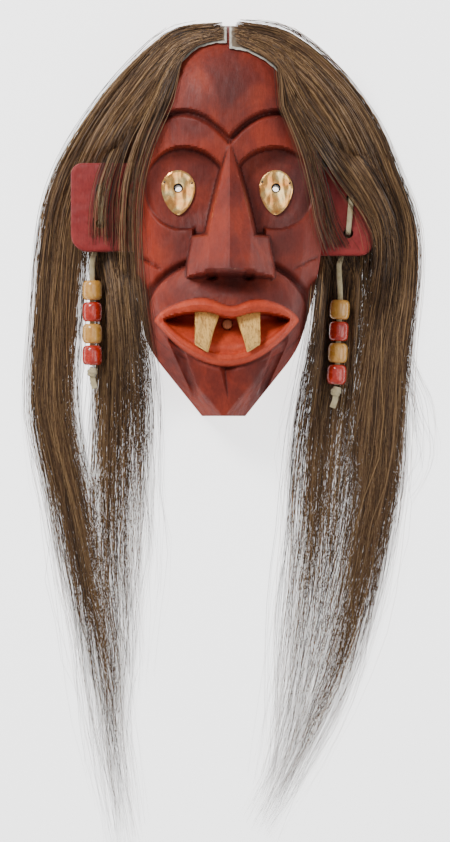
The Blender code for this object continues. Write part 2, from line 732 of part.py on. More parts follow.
def block(low, high):
    bm = bmesh.new()
    bmesh.ops.create_cube(bm, size=1.0)
    low, high = np.array(low), np.array(high)
    bmesh.ops.scale(bm, verts=bm.verts, vec=high - low)
    bmesh.ops.translate(bm, verts=bm.verts, vec=(high + low) / 2)
    return bm


def make_face(parts, cutters, wood):
    """The carved front with its straight sides and its hollow back."""
    bm = sculpted(
        CARVING_COLUMNS, CARVING_ROWS, 0.0, DRAWN[1], centre_line, half_width, carving, 0.0
    )
    face = object_from("mask", bm, parts, wood, smooth=True)
    fewer = face.modifiers.new("fewer faces", "DECIMATE")
    fewer.ratio = CARVING_KEPT
    rim = drawn(RIM_WIDTH, 1)
    top = DRAWN[1] - rim
    inside = sculpted(
        HOLLOW_COLUMNS, HOLLOW_ROWS, rim, top, centre_line, hollow_half_width, hollow, UNDER_RIM
    )
    return face, cutter_from("hollow", inside, cutters)


def ear_outline(side, grow=0.0):
    """The ear's plan in metres: two rounded outer corners, and a root inside the face's side."""
    sign = SIDES[side]
    out = abs(EAR_OUT[side]) * SCALE[0] + grow
    low = world((0.0, EAR_BOTTOM[side], 0.0))[1] - grow
    high = world((0.0, EAR_BOTTOM[side] + EAR_TALL, 0.0))[1] + grow
    root = FACE_WIDTH / 2 - EAR_ROOT
    points = [(root, low)]
    upper, lower = (radius * SCALE[0] + grow for radius in EAR_CORNERS[side])
    for radius, middle, start in ((lower, low + lower, -90.0), (upper, high - upper, 0.0)):
        for step in range(5):
            turn = math.radians(start + 22.5 * step)
            points.append((out - radius + radius * math.cos(turn), middle + radius * math.sin(turn)))
    points.append((root, high))
    return [(sign * x, y) for x, y in points][:: int(sign)]


def make_ear(side, cutters):
    ear = plate(f"ear_{side}", ear_outline(side), EAR_THICKNESS, cutters)
    ear.location.z = EAR_BACK * SCALE[2] + EAR_THICKNESS / 2
    ear.hide_render = True
    ear.display_type = "WIRE"
    rounding = ear.modifiers.new("worn edges", "BEVEL")
    rounding.width = EAR_EDGE_ROUNDING
    rounding.segments = 1
    rounding.limit_method = "ANGLE"
    rounding.angle_limit = math.radians(50.0)
    return ear


def egg_outline(count=14):
    """The eye plate round its bore: half an ellipse above, a longer point below."""
    points = []
    for step in range(count):
        turn = 2 * math.pi * step / count
        across, up = math.cos(turn), math.sin(turn)
        if up >= 0.0:
            points.append((across * PLATE_WIDTH / 2, up * PLATE_ABOVE_EYE))
        else:
            narrow = (1.0 - (-up) ** 1.7) ** 0.62
            wide = math.copysign(narrow * PLATE_WIDTH / 2, across) if abs(across) > 1e-6 else 0.0
            points.append((wide, up * PLATE_BELOW_EYE))
    return points


def make_eye(side, face, parts, cutters, copper, steel):
    """A copper plate on the socket floor, its bore through the mask, and its three tacks."""
    eye_x, eye_y = EYES[side]
    at = world((eye_x, eye_y, carving(np.array([eye_x]), np.array([eye_y]))[0]))
    under = at[2] + CARVING_GAP
    disc = plate(f"eye_plate_{side}", egg_outline(), PLATE_THICKNESS, parts, copper)
    disc.location = (at[0], at[1], under + PLATE_THICKNESS / 2)
    for piece, name, width, solver in (
        (face, f"eye_bore_{side}", EYE_BORE, "EXACT"),
        (disc, f"plate_bore_{side}", PLATE_BORE, "MANIFOLD"),
    ):
        bore = cylinder(width, EYE_BORE_FROM, FACE_DEPTH, *at[:2])
        combine(piece, cutter_from(name, bore, cutters), "DIFFERENCE", solver)
    for number, (across, up) in enumerate(TACKS_ROUND_EYE, 1):
        x = at[0] + across * SCALE[0]
        y = at[1] + up * SCALE[1]
        seat = under + PLATE_THICKNESS + TOUCH_GAP
        tip = seat - TACK_LENGTH
        wide = TACK_SHANK + 2 * TOUCH_GAP
        hole = cylinder(wide, tip - TOUCH_GAP, seat + CUTTER_OVERRUN, x, y, TACK_SIDES)
        hole = cutter_from(f"tack_hole_{side}_{number}", hole, cutters)
        combine(face, hole, "DIFFERENCE")
        combine(disc, hole, "DIFFERENCE", "MANIFOLD")
        profile = (
            (0.0, seat + TACK_HEAD_HEIGHT),
            (TACK_HEAD * 0.34, seat + TACK_HEAD_HEIGHT * 0.72),
            (TACK_HEAD / 2, seat),
            (TACK_SHANK / 2, seat),
            (TACK_SHANK / 2, tip + TACK_SHANK),
            (0.0, tip),
        )
        turned(f"eye_tack_{side}_{number}", profile, (x, y, 0.0), TACK_SIDES, parts, steel)


def turned(name, profile, location, steps, collection, material):
    """A turned piece round +Z from its profile of (radius, height), top to bottom."""
    bm = bmesh.new()
    verts = [bm.verts.new((radius, 0.0, height)) for radius, height in profile]
    for low, high in zip(verts, verts[1:]):
        bm.edges.new((low, high))
    mesh = bpy.data.meshes.new(name)
    bm.to_mesh(mesh)
    bm.free()
    obj = new_object(name, mesh, collection, material)
    obj.location = location
    screw = obj.modifiers.new("turned", "SCREW")
    screw.steps = steps
    screw.render_steps = steps
    screw.use_merge_vertices = True
    screw.merge_threshold = 0.00005
    screw.use_smooth_shade = True
    return obj


def wedge(sign, grow=0.0):
    """A split peg along its own -Y, wide at the root and cut slantwise at the tip."""
    bm = bmesh.new()
    bmesh.ops.create_cube(bm, size=1.0)
    for vert in bm.verts:
        at_root = vert.co.y > 0.0
        width = (TOOTH_ROOT_WIDTH if at_root else TOOTH_TIP_WIDTH) + 2 * grow
        depth = TOOTH_THICKNESS * (1.0 if at_root else 0.8) + 2 * grow
        slant = 0.0 if at_root else math.copysign(TOOTH_SLANT, vert.co.x * sign)
        end = math.copysign(TOOTH_LENGTH / 2 + grow, vert.co.y) + slant
        vert.co = (vert.co.x * width, end, vert.co.z * depth)
    return bm


def make_teeth(face, parts, cutters, split_wood, dark_wood):
    """Two long pegs and a stub, each seated in its own socket behind the upper lip."""
    for side, (x, y) in TEETH.items():
        sign = SIDES[side]
        at = world((x, y, TOOTH_FRONT)) - (0.0, 0.0, TOOTH_BACK)
        tooth = object_from(f"tooth_{side}", wedge(sign), parts, split_wood)
        socket = cutter_from(f"tooth_socket_{side}", wedge(sign, TOUCH_GAP), cutters)
        for piece in (tooth, socket):
            piece.location = at
            piece.rotation_euler = (-TOOTH_TILT, 0.0, TOOTH_SPLAY * sign)
        combine(face, socket, "DIFFERENCE")
    floor = carving(np.array([STUB[0]]), np.array([STUB[1]]))[0]
    at = world((STUB[0], STUB[1], floor))
    high = at[2] + STUB_OUT
    low = high - STUB_LENGTH
    stub = cylinder(STUB_DIAMETER, low, high, at[0], at[1], STUB_SIDES)
    object_from("tooth_middle", stub, parts, dark_wood, smooth=True)
    width = STUB_DIAMETER + 2 * TOUCH_GAP
    seat = cylinder(width, low - TOUCH_GAP, high + STUB_LENGTH, at[0], at[1], STUB_SIDES)
    combine(face, cutter_from("stub_socket", seat, cutters), "DIFFERENCE")


def make_hide(side, parts, cutters, hide):
    """A strip of hide bent over the top of the forehead, and its enlarged copy as a cutter."""
    sign = SIDES[side]
    bottom = drawn(CARVING_GAP)

    def strip(name, collection, grow, material):
        bm = bmesh.new()
        bmesh.ops.create_grid(bm, x_segments=HIDE_COLUMNS, y_segments=HIDE_ROWS, size=1.0)
        rim = [edge for edge in bm.edges if edge.is_boundary]
        lower = bmesh.ops.duplicate(bm, geom=bm.verts[:] + bm.edges[:] + bm.faces[:])
        for item in lower["geom"]:
            if isinstance(item, bmesh.types.BMVert):
                item.co.z = -1.0
        twins = [lower["edge_map"][edge] for edge in rim]
        bmesh.ops.bridge_loops(bm, edges=rim + twins)
        spots = np.array([vert.co for vert in bm.verts])
        start = drawn(PARTING, 0) / 2 - grow
        low_x = start + (HIDE_END + grow - start) * (spots[:, 0] + 1.0) / 2
        low_y = hide_lower_edge(side, low_x) - grow
        high_x = low_x * 1.08
        high_y = top_edge(high_x) - HIDE_SET_IN + grow
        share = np.sin((spots[:, 1] + 1.0) * math.pi / 4)
        x = sign * (low_x + (high_x - low_x) * share)
        y = low_y + (high_y - low_y) * share
        base = above_dome(x, y, bottom)
        top = base + drawn(HIDE_THICKNESS) + 2 * grow
        z = np.where(spots[:, 2] < -0.5, base - grow, top)
        for vert, place in zip(bm.verts, world(np.stack([x, y, z], axis=1))):
            vert.co = place
        return object_from(name, bm, collection, material)

    piece = strip(f"hide_{side}", parts, 0.0, hide)
    cutter = strip(f"hide_space_{side}", cutters, drawn(HAIR_GAP), None)
    cutter.hide_render = True
    cutter.display_type = "WIRE"
    return piece, cutter


def lock_mesh(side, route, width, over_ear):
    """A flat swept lock that lies along its bed, narrow at the root and drawn to a point."""
    path = smooth_route(route, LOCK_STATIONS, LOCK_CROWDING)
    heading = np.gradient(path, axis=0)
    heading /= np.linalg.norm(heading, axis=1, keepdims=True)
    across = np.stack([-heading[:, 1], heading[:, 0]], axis=1)
    along = np.linspace(0.0, 1.0, LOCK_STATIONS) ** LOCK_CROWDING
    spread = width * np.interp(along, *LOCK_SPREAD)
    tall = drawn(LOCK_THICKNESS) * np.interp(along, *LOCK_TALL)
    turns = np.radians(90.0 + np.arange(LOCK_SIDES) * 360.0 / LOCK_SIDES)
    lift = (np.sin(turns) - np.sin(turns).min()) / np.ptp(np.sin(turns))
    plan = path[:, None] + across[:, None] * (np.cos(turns)[:, None] * spread[:, None, None] / 2)
    bed = hair_bed(side, plan[..., 0], plan[..., 1], over_ear)
    sunk = drawn(LOCK_SUNK)
    height = bed - sunk + lift * (tall[:, None] + sunk)
    points = np.concatenate([plan, height[..., None]], axis=2)
    bm = bmesh.new()
    rings = [[bm.verts.new(place) for place in world(ring)] for ring in points]
    for ring, following in zip(rings, rings[1:]):
        for i in range(LOCK_SIDES):
            j = (i + 1) % LOCK_SIDES
            bm.faces.new((ring[i], ring[j], following[j], following[i]))
    bm.faces.new(rings[0])
    bm.faces.new(rings[-1])
    return bm


def make_hair(side, parts, cutters, hair, spaces):
    """One fused body of swept locks, cut clear of what they lie on."""
    whole = None
    for over_ear, width, route in LOCKS[side]:
        bm = lock_mesh(side, route, width, over_ear)
        if whole is None:
            whole = object_from(f"hair_{side}", bm, parts, hair, smooth=True)
        else:
            lock = cutter_from(f"lock_of_{side}", bm, cutters)
            combine(whole, lock, "UNION", "MANIFOLD")
    for space in spaces:
        combine(whole, space, "DIFFERENCE", "MANIFOLD")
    keep_largest(whole)


def head_space(cutters):
    """The head, a little enlarged, which the hair is kept clear of."""
    grow = drawn(HAIR_GAP)

    def wider(y):
        return half_width(np.minimum(y, DRAWN[1])) + grow

    top = DRAWN[1] + grow
    columns, rows = HEAD_SPACE_COLUMNS, HEAD_SPACE_ROWS
    bm = sculpted(columns, rows, 0.0, top, centre_line, wider, fuller_head, UNDER_RIM)
    return cutter_from("head_space", bm, cutters)


def ear_space(side, cutters):
    outline = ear_outline(side, HAIR_GAP)
    space = plate(f"ear_space_{side}", outline, EAR_THICKNESS + 2 * HAIR_GAP, cutters)
    space.location.z = EAR_BACK * SCALE[2] + EAR_THICKNESS / 2
    space.hide_render = True
    space.display_type = "WIRE"
    return space


def past_parting(side, cutters):
    """Everything over the parting's far side, which this side's hair doesn't cross."""
    near = -SIDES[side] * HAIR_GAP / 2
    far = -SIDES[side] * FACE_WIDTH
    low = (min(near, far), FACE_HEIGHT / 2, 0.0)
    high = (max(near, far), FACE_HEIGHT * 2, FACE_DEPTH * 2)
    return cutter_from(f"past_parting_{side}", block(low, high), cutters)


def bead_place(side, number):
    """Middle of a bead, in metres: they follow one another down a straight stretch of thong."""
    first = world((*FIRST_BEAD[side], BEAD_AXIS_HEIGHT))
    heading = bead_heading(side)
    return first + heading * BEAD_PITCH * number


def bead_heading(side):
    heading = np.array([-BEAD_LEAN[side], -1.0, 0.0])
    return heading / np.linalg.norm(heading)


def thong_spaces(side, cutters):
    """Lanes in the hair: for the free thong and its beads, and for the stitch through the ear."""
    half = BEAD_DIAMETER / 2 + HAIR_GAP
    narrow = THONG_DIAMETER / 2 + HAIR_GAP
    first = bead_place(side, 0)
    last = bead_place(side, BEAD_COUNT - 1)
    leaves = world((*THONG_EXIT[side], EAR_BACK))
    upper, lower = (world((*hole, EAR_BACK)) for hole in STITCH_HOLES[side])
    bottom = last[2] - half
    end_y = last[1] - BEAD_LENGTH / 2 - KNOT_LENGTH - TAIL_LENGTH - HAIR_GAP
    xs = (last[0], first[0], leaves[0])
    free = block((min(xs) - half, end_y, bottom), (max(xs) + half, leaves[1] + half, FACE_DEPTH))
    xs = (leaves[0], lower[0], upper[0])
    behind = block(
        (min(xs) - narrow, leaves[1] - half, leaves[2] - 2 * narrow),
        (max(xs) + narrow, upper[1] + 2 * half, leaves[2]),
    )
    xs = (lower[0], upper[0])
    before = block(
        (min(xs) - narrow, lower[1] - narrow, leaves[2]),
        (max(xs) + narrow, upper[1] + narrow, FACE_DEPTH),
    )
    lanes = {"free": free, "behind": behind, "before": before}
    return [cutter_from(f"thong_{name}_{side}", bm, cutters) for name, bm in lanes.items()]


def stitch_route(side):
    """The held part of the thong, in metres: through the upper hole, down the ear, and back."""
    upper, lower = (world((x, y, 0.0)) for x, y in STITCH_HOLES[side])
    back = EAR_BACK * SCALE[2] - TOUCH_GAP - THONG_DIAMETER / 2
    front = EAR_BACK * SCALE[2] + EAR_THICKNESS + TOUCH_GAP + THONG_DIAMETER / 2
    down = (lower - upper) / np.linalg.norm(lower - upper)
    end = world((*THONG_EXIT[side], 0.0))
    run = (end - lower) / np.linalg.norm(end - lower)
    turn = THONG_DIAMETER * STITCH_TURN
    high = np.array([0.0, 0.0, 1.0])
    lift = THONG_DIAMETER * STITCH_RISE
    return [
        upper - down * 2.4 * turn + high * back,
        upper - down * 1.1 * turn + high * back,
        upper - down * 0.25 * turn + high * (back + lift),
        upper + high * (back + front) / 2,
        upper + down * 0.25 * turn + high * (front - lift),
        upper + down * 1.1 * turn + high * front,
        (upper + lower) / 2 + high * (front + STITCH_BOW),
        lower - down * 1.1 * turn + high * front,
        lower - down * 0.25 * turn + high * (front - lift),
        lower + high * (back + front) / 2,
        lower + run * 0.25 * turn + high * (back + lift),
        lower + run * 1.1 * turn + high * back,
        (lower + end) / 2 + high * back,
        end + high * back,
    ]


def thong_route(side):
    """The free part of the thong, in metres: from the ear's lower edge through the beads."""
    back = EAR_BACK * SCALE[2] - TOUCH_GAP - THONG_DIAMETER / 2
    exit_ = world((*THONG_EXIT[side], 0.0)) + (0.0, 0.0, back)
    lower = world((*STITCH_HOLES[side][1], 0.0)) + (0.0, 0.0, back)
    run = (exit_ - lower) / np.linalg.norm(exit_ - lower)
    start = exit_ + run * TOUCH_GAP
    first = bead_place(side, 0)
    heading = bead_heading(side)
    above = first - heading * BEAD_LENGTH * 0.62
    route = [start, start + run * THONG_DIAMETER]
    middle = (start + run * THONG_DIAMETER + above) / 2
    route += [middle, above, first]
    route += [bead_place(side, number) for number in range(1, BEAD_COUNT)]
    end = bead_place(side, BEAD_COUNT - 1) + heading * (BEAD_LENGTH / 2 + TOUCH_GAP)
    return [*route, end]


def make_thong(side, parts, buckskin, tan, red):
    """The stitch through the ear, the free thong, its beads and its end knot."""
    stitch = smooth_route(stitch_route(side), STITCH_STATIONS)
    tube(f"thong_stitch_{side}", stitch, THONG_DIAMETER, parts, buckskin)
    free = smooth_route(thong_route(side), THONG_STATIONS)
    tube(f"thong_{side}", free, THONG_DIAMETER, parts, buckskin)
    heading = bead_heading(side)
    turn = math.atan2(-heading[0], heading[1])
    bore = THONG_DIAMETER / 2 + TOUCH_GAP
    outer = BEAD_DIAMETER / 2
    half = BEAD_LENGTH / 2
    profile = (
        (bore, half),
        (outer * 0.8, half),
        (outer, half * 0.5),
        (outer, -half * 0.5),
        (outer * 0.8, -half),
        (bore, -half),
        (bore, half),
    )
    for number in range(BEAD_COUNT):
        finish = tan if number % 2 == 0 else red
        place = bead_place(side, number)
        bead = turned(f"bead_{side}_{number + 1}", profile, place, BEAD_SIDES, parts, finish)
        bead.rotation_euler = (math.radians(90.0), 0.0, turn + math.pi)
    last = bead_place(side, BEAD_COUNT - 1)
    knot_at = last + heading * (BEAD_LENGTH / 2 + 2 * TOUCH_GAP + KNOT_LENGTH / 2)
    bm = bmesh.new()
    bmesh.ops.create_uvsphere(bm, u_segments=8, v_segments=5, radius=0.5)
    bmesh.ops.scale(bm, verts=bm.verts, vec=(KNOT_DIAMETER, KNOT_LENGTH, KNOT_DIAMETER))
    knot = object_from(f"knot_{side}", bm, parts, buckskin, smooth=True)
    knot.location = knot_at
    knot.rotation_euler.z = turn + math.pi
    return knot_at, heading


def add_tail(side, knot_at, heading, cutters):
    """The cut end of the thong below its knot, joined to the knot."""
    low = knot_at + heading * KNOT_LENGTH * 0.25
    high = knot_at + heading * (KNOT_LENGTH / 2 + TAIL_LENGTH)
    swing = np.array([-SIDES[side] * TAIL_SWING, 0.0, 0.0])
    bm = bmesh.new()
    width = Vector((THONG_DIAMETER * 0.6, 0.0, 0.0))
    deep = Vector((0.0, 0.0, THONG_DIAMETER * 0.3))
    bmesh.ops.create_cube(bm, size=1.0)
    for vert in bm.verts:
        place = low if vert.co.y > 0.0 else high + swing
        vert.co = Vector(place) + width * (2 * vert.co.x) + deep * (2 * vert.co.z)
    tail = cutter_from(f"tail_{side}", bm, cutters)
    combine(bpy.data.objects[f"knot_{side}"], tail, "UNION")


def main():
    for obj in list(bpy.data.objects):
        bpy.data.objects.remove(obj)
    scene = bpy.context.scene.collection
    parts = bpy.data.collections.new("false face mask")
    cutters = bpy.data.collections.new("cutters")
    scene.children.link(parts)
    scene.children.link(cutters)

    wood = new_material("painted wood", (0.26, 0.045, 0.03), 0.5)
    copper = new_material("copper", (0.86, 0.52, 0.33), 0.28, 1.0)
    steel = new_material("tack steel", (0.09, 0.08, 0.075), 0.45, 0.9)
    split_wood = new_material("split wood", (0.62, 0.44, 0.2), 0.7)
    dark_wood = new_material("stained stub", (0.22, 0.15, 0.06), 0.75)
    hide = new_material("raw hide", (0.5, 0.46, 0.38), 0.8)
    hair = new_material("horsehair", (0.09, 0.055, 0.03), 0.5)
    buckskin = new_material("buckskin", (0.62, 0.5, 0.26), 0.9)
    tan = new_material("tan bead", (0.66, 0.42, 0.17), 0.25)
    red = new_material("red bead", (0.5, 0.02, 0.02), 0.22)

    face, back_hollow = make_face(parts, cutters, wood)
    ears = [make_ear(side, cutters) for side in SIDES]
    for ear in ears:
        combine(face, ear, "UNION")
    combine(face, back_hollow, "DIFFERENCE")
    for side in SIDES:
        make_eye(side, face, parts, cutters, copper, steel)
    make_teeth(face, parts, cutters, split_wood, dark_wood)
    head = head_space(cutters)
    reach = 4 * FACE_WIDTH
    below = -FACE_DEPTH
    ground = cutter_from("ground", block((-reach, -reach, below), (reach, reach, 0.0)), cutters)
    for side in SIDES:
        for number, hole in enumerate(STITCH_HOLES[side], 1):
            x, y, _ = world((*hole, 0.0))
            bm = cylinder(THONG_HOLE, 0.0, FACE_DEPTH / 2, x, y, THONG_HOLE_SIDES)
            combine(face, cutter_from(f"thong_hole_{side}_{number}", bm, cutters), "DIFFERENCE")
        _, hide_cutter = make_hide(side, parts, cutters, hide)
        spaces = [head, ear_space(side, cutters), hide_cutter, ground, past_parting(side, cutters)]
        spaces += thong_spaces(side, cutters)
        make_hair(side, parts, cutters, hair, spaces)
        knot_at, heading = make_thong(side, parts, buckskin, tan, red)
        add_tail(side, knot_at, heading, cutters)


main()
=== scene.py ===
"""The looks of the false face mask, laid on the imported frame.

The carving, the hair and the thongs follow the same drawing as the solids: one drawn unit to
a millimetre of the real mask, which world() stretches to the frame's own width and height.
Left and right are as the viewer sees them, and the mask lies on its back, +Z out of the face.
"""

import math

import bmesh
import bpy
import numpy as np
from mathutils import Euler, Matrix, Vector

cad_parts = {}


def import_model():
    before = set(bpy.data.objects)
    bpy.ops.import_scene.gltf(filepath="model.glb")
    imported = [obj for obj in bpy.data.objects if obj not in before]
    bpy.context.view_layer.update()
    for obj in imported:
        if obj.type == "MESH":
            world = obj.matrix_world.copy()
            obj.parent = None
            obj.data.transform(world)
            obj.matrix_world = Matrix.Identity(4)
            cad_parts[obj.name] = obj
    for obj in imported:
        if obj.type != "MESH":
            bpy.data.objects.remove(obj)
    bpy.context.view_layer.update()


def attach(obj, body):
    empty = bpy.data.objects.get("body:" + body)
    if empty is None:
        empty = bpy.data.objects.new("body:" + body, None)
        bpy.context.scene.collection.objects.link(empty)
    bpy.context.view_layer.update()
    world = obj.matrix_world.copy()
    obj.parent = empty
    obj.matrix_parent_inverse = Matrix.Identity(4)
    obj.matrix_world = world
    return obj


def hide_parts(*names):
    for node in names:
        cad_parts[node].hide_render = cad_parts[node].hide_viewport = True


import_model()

# The face, in metres: across the cheekbones, chin to crown, and back rim to nose tip.
FACE_WIDTH = 0.1336
FACE_HEIGHT = 0.272
FACE_DEPTH = 0.106
RIM_WIDTH = 0.011
RIM_SEAT_UP = 0.005

# Clearances: between pieces that touch, and over the faceted carving of the solids.
TOUCH_GAP = 0.0003
CARVING_GAP = 0.0006

SIDES = {"left": -1.0, "right": 1.0}
UP = np.array([0.0, 0.0, 1.0])
RNG = np.random.default_rng(1742)

# The photograph: its size, the scale at the face, and the pixel of the drawing's origin.
IMAGE_WIDTH = 450
IMAGE_HEIGHT = 842
PHOTO_SCALE = 0.0007
ORIGIN_PIXEL = (228.0, 416.0)
CAMERA_DISTANCE = 2.0
SHARP_HEIGHT = 0.045
SENSOR_WIDTH = 0.036

DRAWN = np.array([133.6, 272.0, 106.0])
SCALE = np.array([FACE_WIDTH, FACE_HEIGHT, FACE_DEPTH]) / DRAWN
ORIGIN = np.array([0.0, RIM_SEAT_UP, 0.0])


def world(points):
    """Drawn points in metres, with the origin on the rim below the chin."""
    return np.asarray(points, float) * SCALE - ORIGIN


def drawn(length, axis=2):
    """A real length in drawn units, along X, Y or Z."""
    return length / SCALE[axis]


def ease(low, high, value):
    """0 at low and 1 at high, with a smooth run between them. High may be the lower number."""
    share = np.clip((value - low) / (high - low), 0.0, 1.0)
    return share * share * (3.0 - 2.0 * share)


def soft_min(a, b, radius):
    share = np.clip(0.5 + 0.5 * (b - a) / radius, 0.0, 1.0)
    return b + (a - b) * share - radius * share * (1.0 - share)


def soft_max(a, b, radius):
    return -soft_min(-a, -b, radius)


def unit(vector):
    return vector / np.linalg.norm(vector)


def turns_round(sides):
    """Angles round a circle, one for each of its sides."""
    return np.arange(sides) * 2 * math.pi / sides


def squarish(turns, power):
    """Across and up round a circle, pressed towards a square as the power falls."""
    return [np.sign(axis) * np.abs(axis) ** power for axis in (np.cos(turns), np.sin(turns))]


# Plan of the face, in drawn units: an oval, widest at the eyes, cut by two straight jaw lines.
WIDEST_Y = 151.0
OVAL_ABOVE = 122.5
OVAL_BELOW = 166.0
OVAL_ACROSS = 2.2
OVAL_UP = 2.35
CHIN_HALF_WIDTH = 15.3
JAW_SLOPE = 0.80
JAW_ROUNDING = 5.0
CHIN_LEAN = -3.1
CHIN_LEAN_RUN = (120.0, 45.0)
JAW_FACET_RUN = (150.0, 128.0)


def centre_line(y):
    """The face leans a little to one side towards the chin."""
    return CHIN_LEAN * ease(*CHIN_LEAN_RUN, y)


def half_width(y):
    above = np.clip((y - WIDEST_Y) / OVAL_ABOVE, 0.0, 1.0)
    below = np.clip((WIDEST_Y - y) / OVAL_BELOW, 0.0, 1.0)
    upper = (1.0 - above**OVAL_UP) ** (1.0 / OVAL_ACROSS)
    oval = DRAWN[0] / 2 * np.where(y > WIDEST_Y, upper, np.sqrt(1.0 - below**2))
    return soft_min(oval, CHIN_HALF_WIDTH + JAW_SLOPE * y, JAW_ROUNDING)


def top_edge(x):
    """The height on the drawing at which the oval's upper half has this half width."""
    share = np.clip(np.abs(x) / (DRAWN[0] / 2), 0.0, 1.0)
    return WIDEST_Y + OVAL_ABOVE * (1.0 - share**OVAL_ACROSS) ** (1.0 / OVAL_UP)


# Heights above the back rim, in drawn units.
EDGE_HEIGHT = 44.0
FOREHEAD_HEIGHT = 80.0
CHEEK_HEIGHT = 69.0
CHIN_HEIGHT = 58.0
FOREHEAD_Y = 205.0
CHEEK_RUN = (186.0, 130.0)
CHIN_RUN = (52.0, -8.0)


def crown(y):
    """Height of the plain face along its middle, before any feature is cut."""
    rise = np.clip((y - FOREHEAD_Y) / (DRAWN[1] + 2.0 - FOREHEAD_Y), 0.0, 1.0)
    z = EDGE_HEIGHT + (FOREHEAD_HEIGHT - EDGE_HEIGHT) * np.sqrt(1.0 - rise**2.2)
    z = z + (CHEEK_HEIGHT - z) * ease(*CHEEK_RUN, y)
    return z - (CHEEK_HEIGHT - CHIN_HEIGHT) * ease(*CHIN_RUN, y)


def dome(x, y):
    """The plain face, domed across, with a flat facet along each cheek and jaw."""
    width = half_width(y)
    off = np.abs(x - centre_line(y))
    share = np.clip(off / np.maximum(width, 1e-6), 0.0, 1.0)
    edge = EDGE_HEIGHT - 4.0 * ease(30.0, 0.0, y)
    z = edge + (crown(y) - edge) * (1.0 - share**2.5) ** 0.55
    facet = edge - 1.0 + 1.35 * (width - off)
    return z + (soft_min(z, facet, 1.2) - z) * ease(*JAW_FACET_RUN, y)


def above_dome(x, y, gap):
    """The plain face raised by a gap measured square to its slope, in drawn units."""
    step = 0.5
    across = (dome(x + step, y) - dome(x - step, y)) / (2 * step)
    up = (dome(x, y + step) - dome(x, y - step)) / (2 * step)
    return dome(x, y) + gap * np.minimum(np.sqrt(1.0 + across**2 + up**2), 4.0)


# Brows: the forehead ends in a sharp lip, over a groove, over a lower band.
NOSE_X = 0.9
BROW_PEAK = (33.0, 209.6)
BROW_BEND = 0.0177
BAND_DROP = 4.0
GROOVE_DROP = 7.6


def brow_step(x, y):
    off = np.abs(x - NOSE_X)
    line = BROW_PEAK[1] - BROW_BEND * (off - BROW_PEAK[0]) ** 2
    slope = 2.0 * BROW_BEND * (off - BROW_PEAK[0])
    up = (y - line) / np.sqrt(1.0 + slope**2)
    lip = -GROOVE_DROP * ease(3.0, 0.0, up)
    band = -BAND_DROP - (GROOVE_DROP - BAND_DROP) * ease(-3.6, -0.3, up)
    band = band * ease(-70.0, -30.0, up)
    return np.where(up > 0.0, lip, band) * ease(62.0, 50.0, off)


# Eye sockets: sunk ovals, each with a square notch beside the nose.
SOCKET_CENTRE = (32.4, 157.6)
SOCKET_HALF_HEIGHT = 28.4
SOCKET_OUT = 26.4
SOCKET_IN = 31.0
SOCKET_FLOOR = 58.5
NOTCH_CENTRE = (18.0, 130.0)
NOTCH_HALF = (6.8, 6.8)


def socket_ring(x, y):
    """1 on the outline of either eye socket, and less inside it."""
    out = np.abs(x - NOSE_X) - SOCKET_CENTRE[0]
    reach = np.where(out < 0.0, SOCKET_IN, SOCKET_OUT)
    return np.sqrt((out / reach) ** 2 + ((y - SOCKET_CENTRE[1]) / SOCKET_HALF_HEIGHT) ** 2)


def cut_sockets(x, y, z):
    off = np.abs(x - NOSE_X)
    ring = socket_ring(x, y)
    notch = soft_max(
        np.abs(off - NOTCH_CENTRE[0]) - NOTCH_HALF[0],
        np.abs(y - NOTCH_CENTRE[1]) - NOTCH_HALF[1],
        0.5,
    )
    outside = soft_min((ring - 1.0) * 26.0, notch, 1.0)
    floor = SOCKET_FLOOR + 1.8 * ease(0.62, 1.05, ring)
    floor = soft_min(floor, dome(x, y) - 3.4, 2.0)
    return z + (np.minimum(floor, z) - z) * ease(1.0, -1.2, outside)


# Muzzle: a low swelling round the mouth, parted from the cheeks by two smile creases.
MUZZLE_CENTRE = (-0.6, 72.0)
MUZZLE_HALF = (56.0, 37.5)
MUZZLE_RISE = 11.0
CREASE_DEPTH = 5.4


def muzzle(x, y):
    ring = np.sqrt(
        ((x - MUZZLE_CENTRE[0]) / MUZZLE_HALF[0]) ** 2
        + ((y - MUZZLE_CENTRE[1]) / MUZZLE_HALF[1]) ** 2
    )
    rise = MUZZLE_RISE * np.clip(1.0 - ring**2.2, 0.0, 1.0) ** 0.7 * ease(28.0, 50.0, y)
    out = (ring - 1.0) * 42.0
    crease = np.where(out > 0.0, ease(5.0, 0.0, out), ease(-1.6, 0.0, out))
    along = ease(74.0, 90.0, y) * ease(20.0, 32.0, np.abs(x - NOSE_X))
    return rise, -CREASE_DEPTH * crease * along


# Nose: a straight ridge with two flat sides, and square wings below.
NOSE_ROOT_Y = 190.0
NOSE_BOTTOM_Y = 99.4
NOSE_ROOT_HEIGHT = 75.0
WING_TOP_Y = 123.4
BLADE_HALF = (14.6, 16.4)
WING_HALF = (25.6, 26.6)
WING_SPREAD = 3.0
FACET_SLOPE = 0.55
WING_SLOPE = 1.15
WALL_SLOPE = 6.5


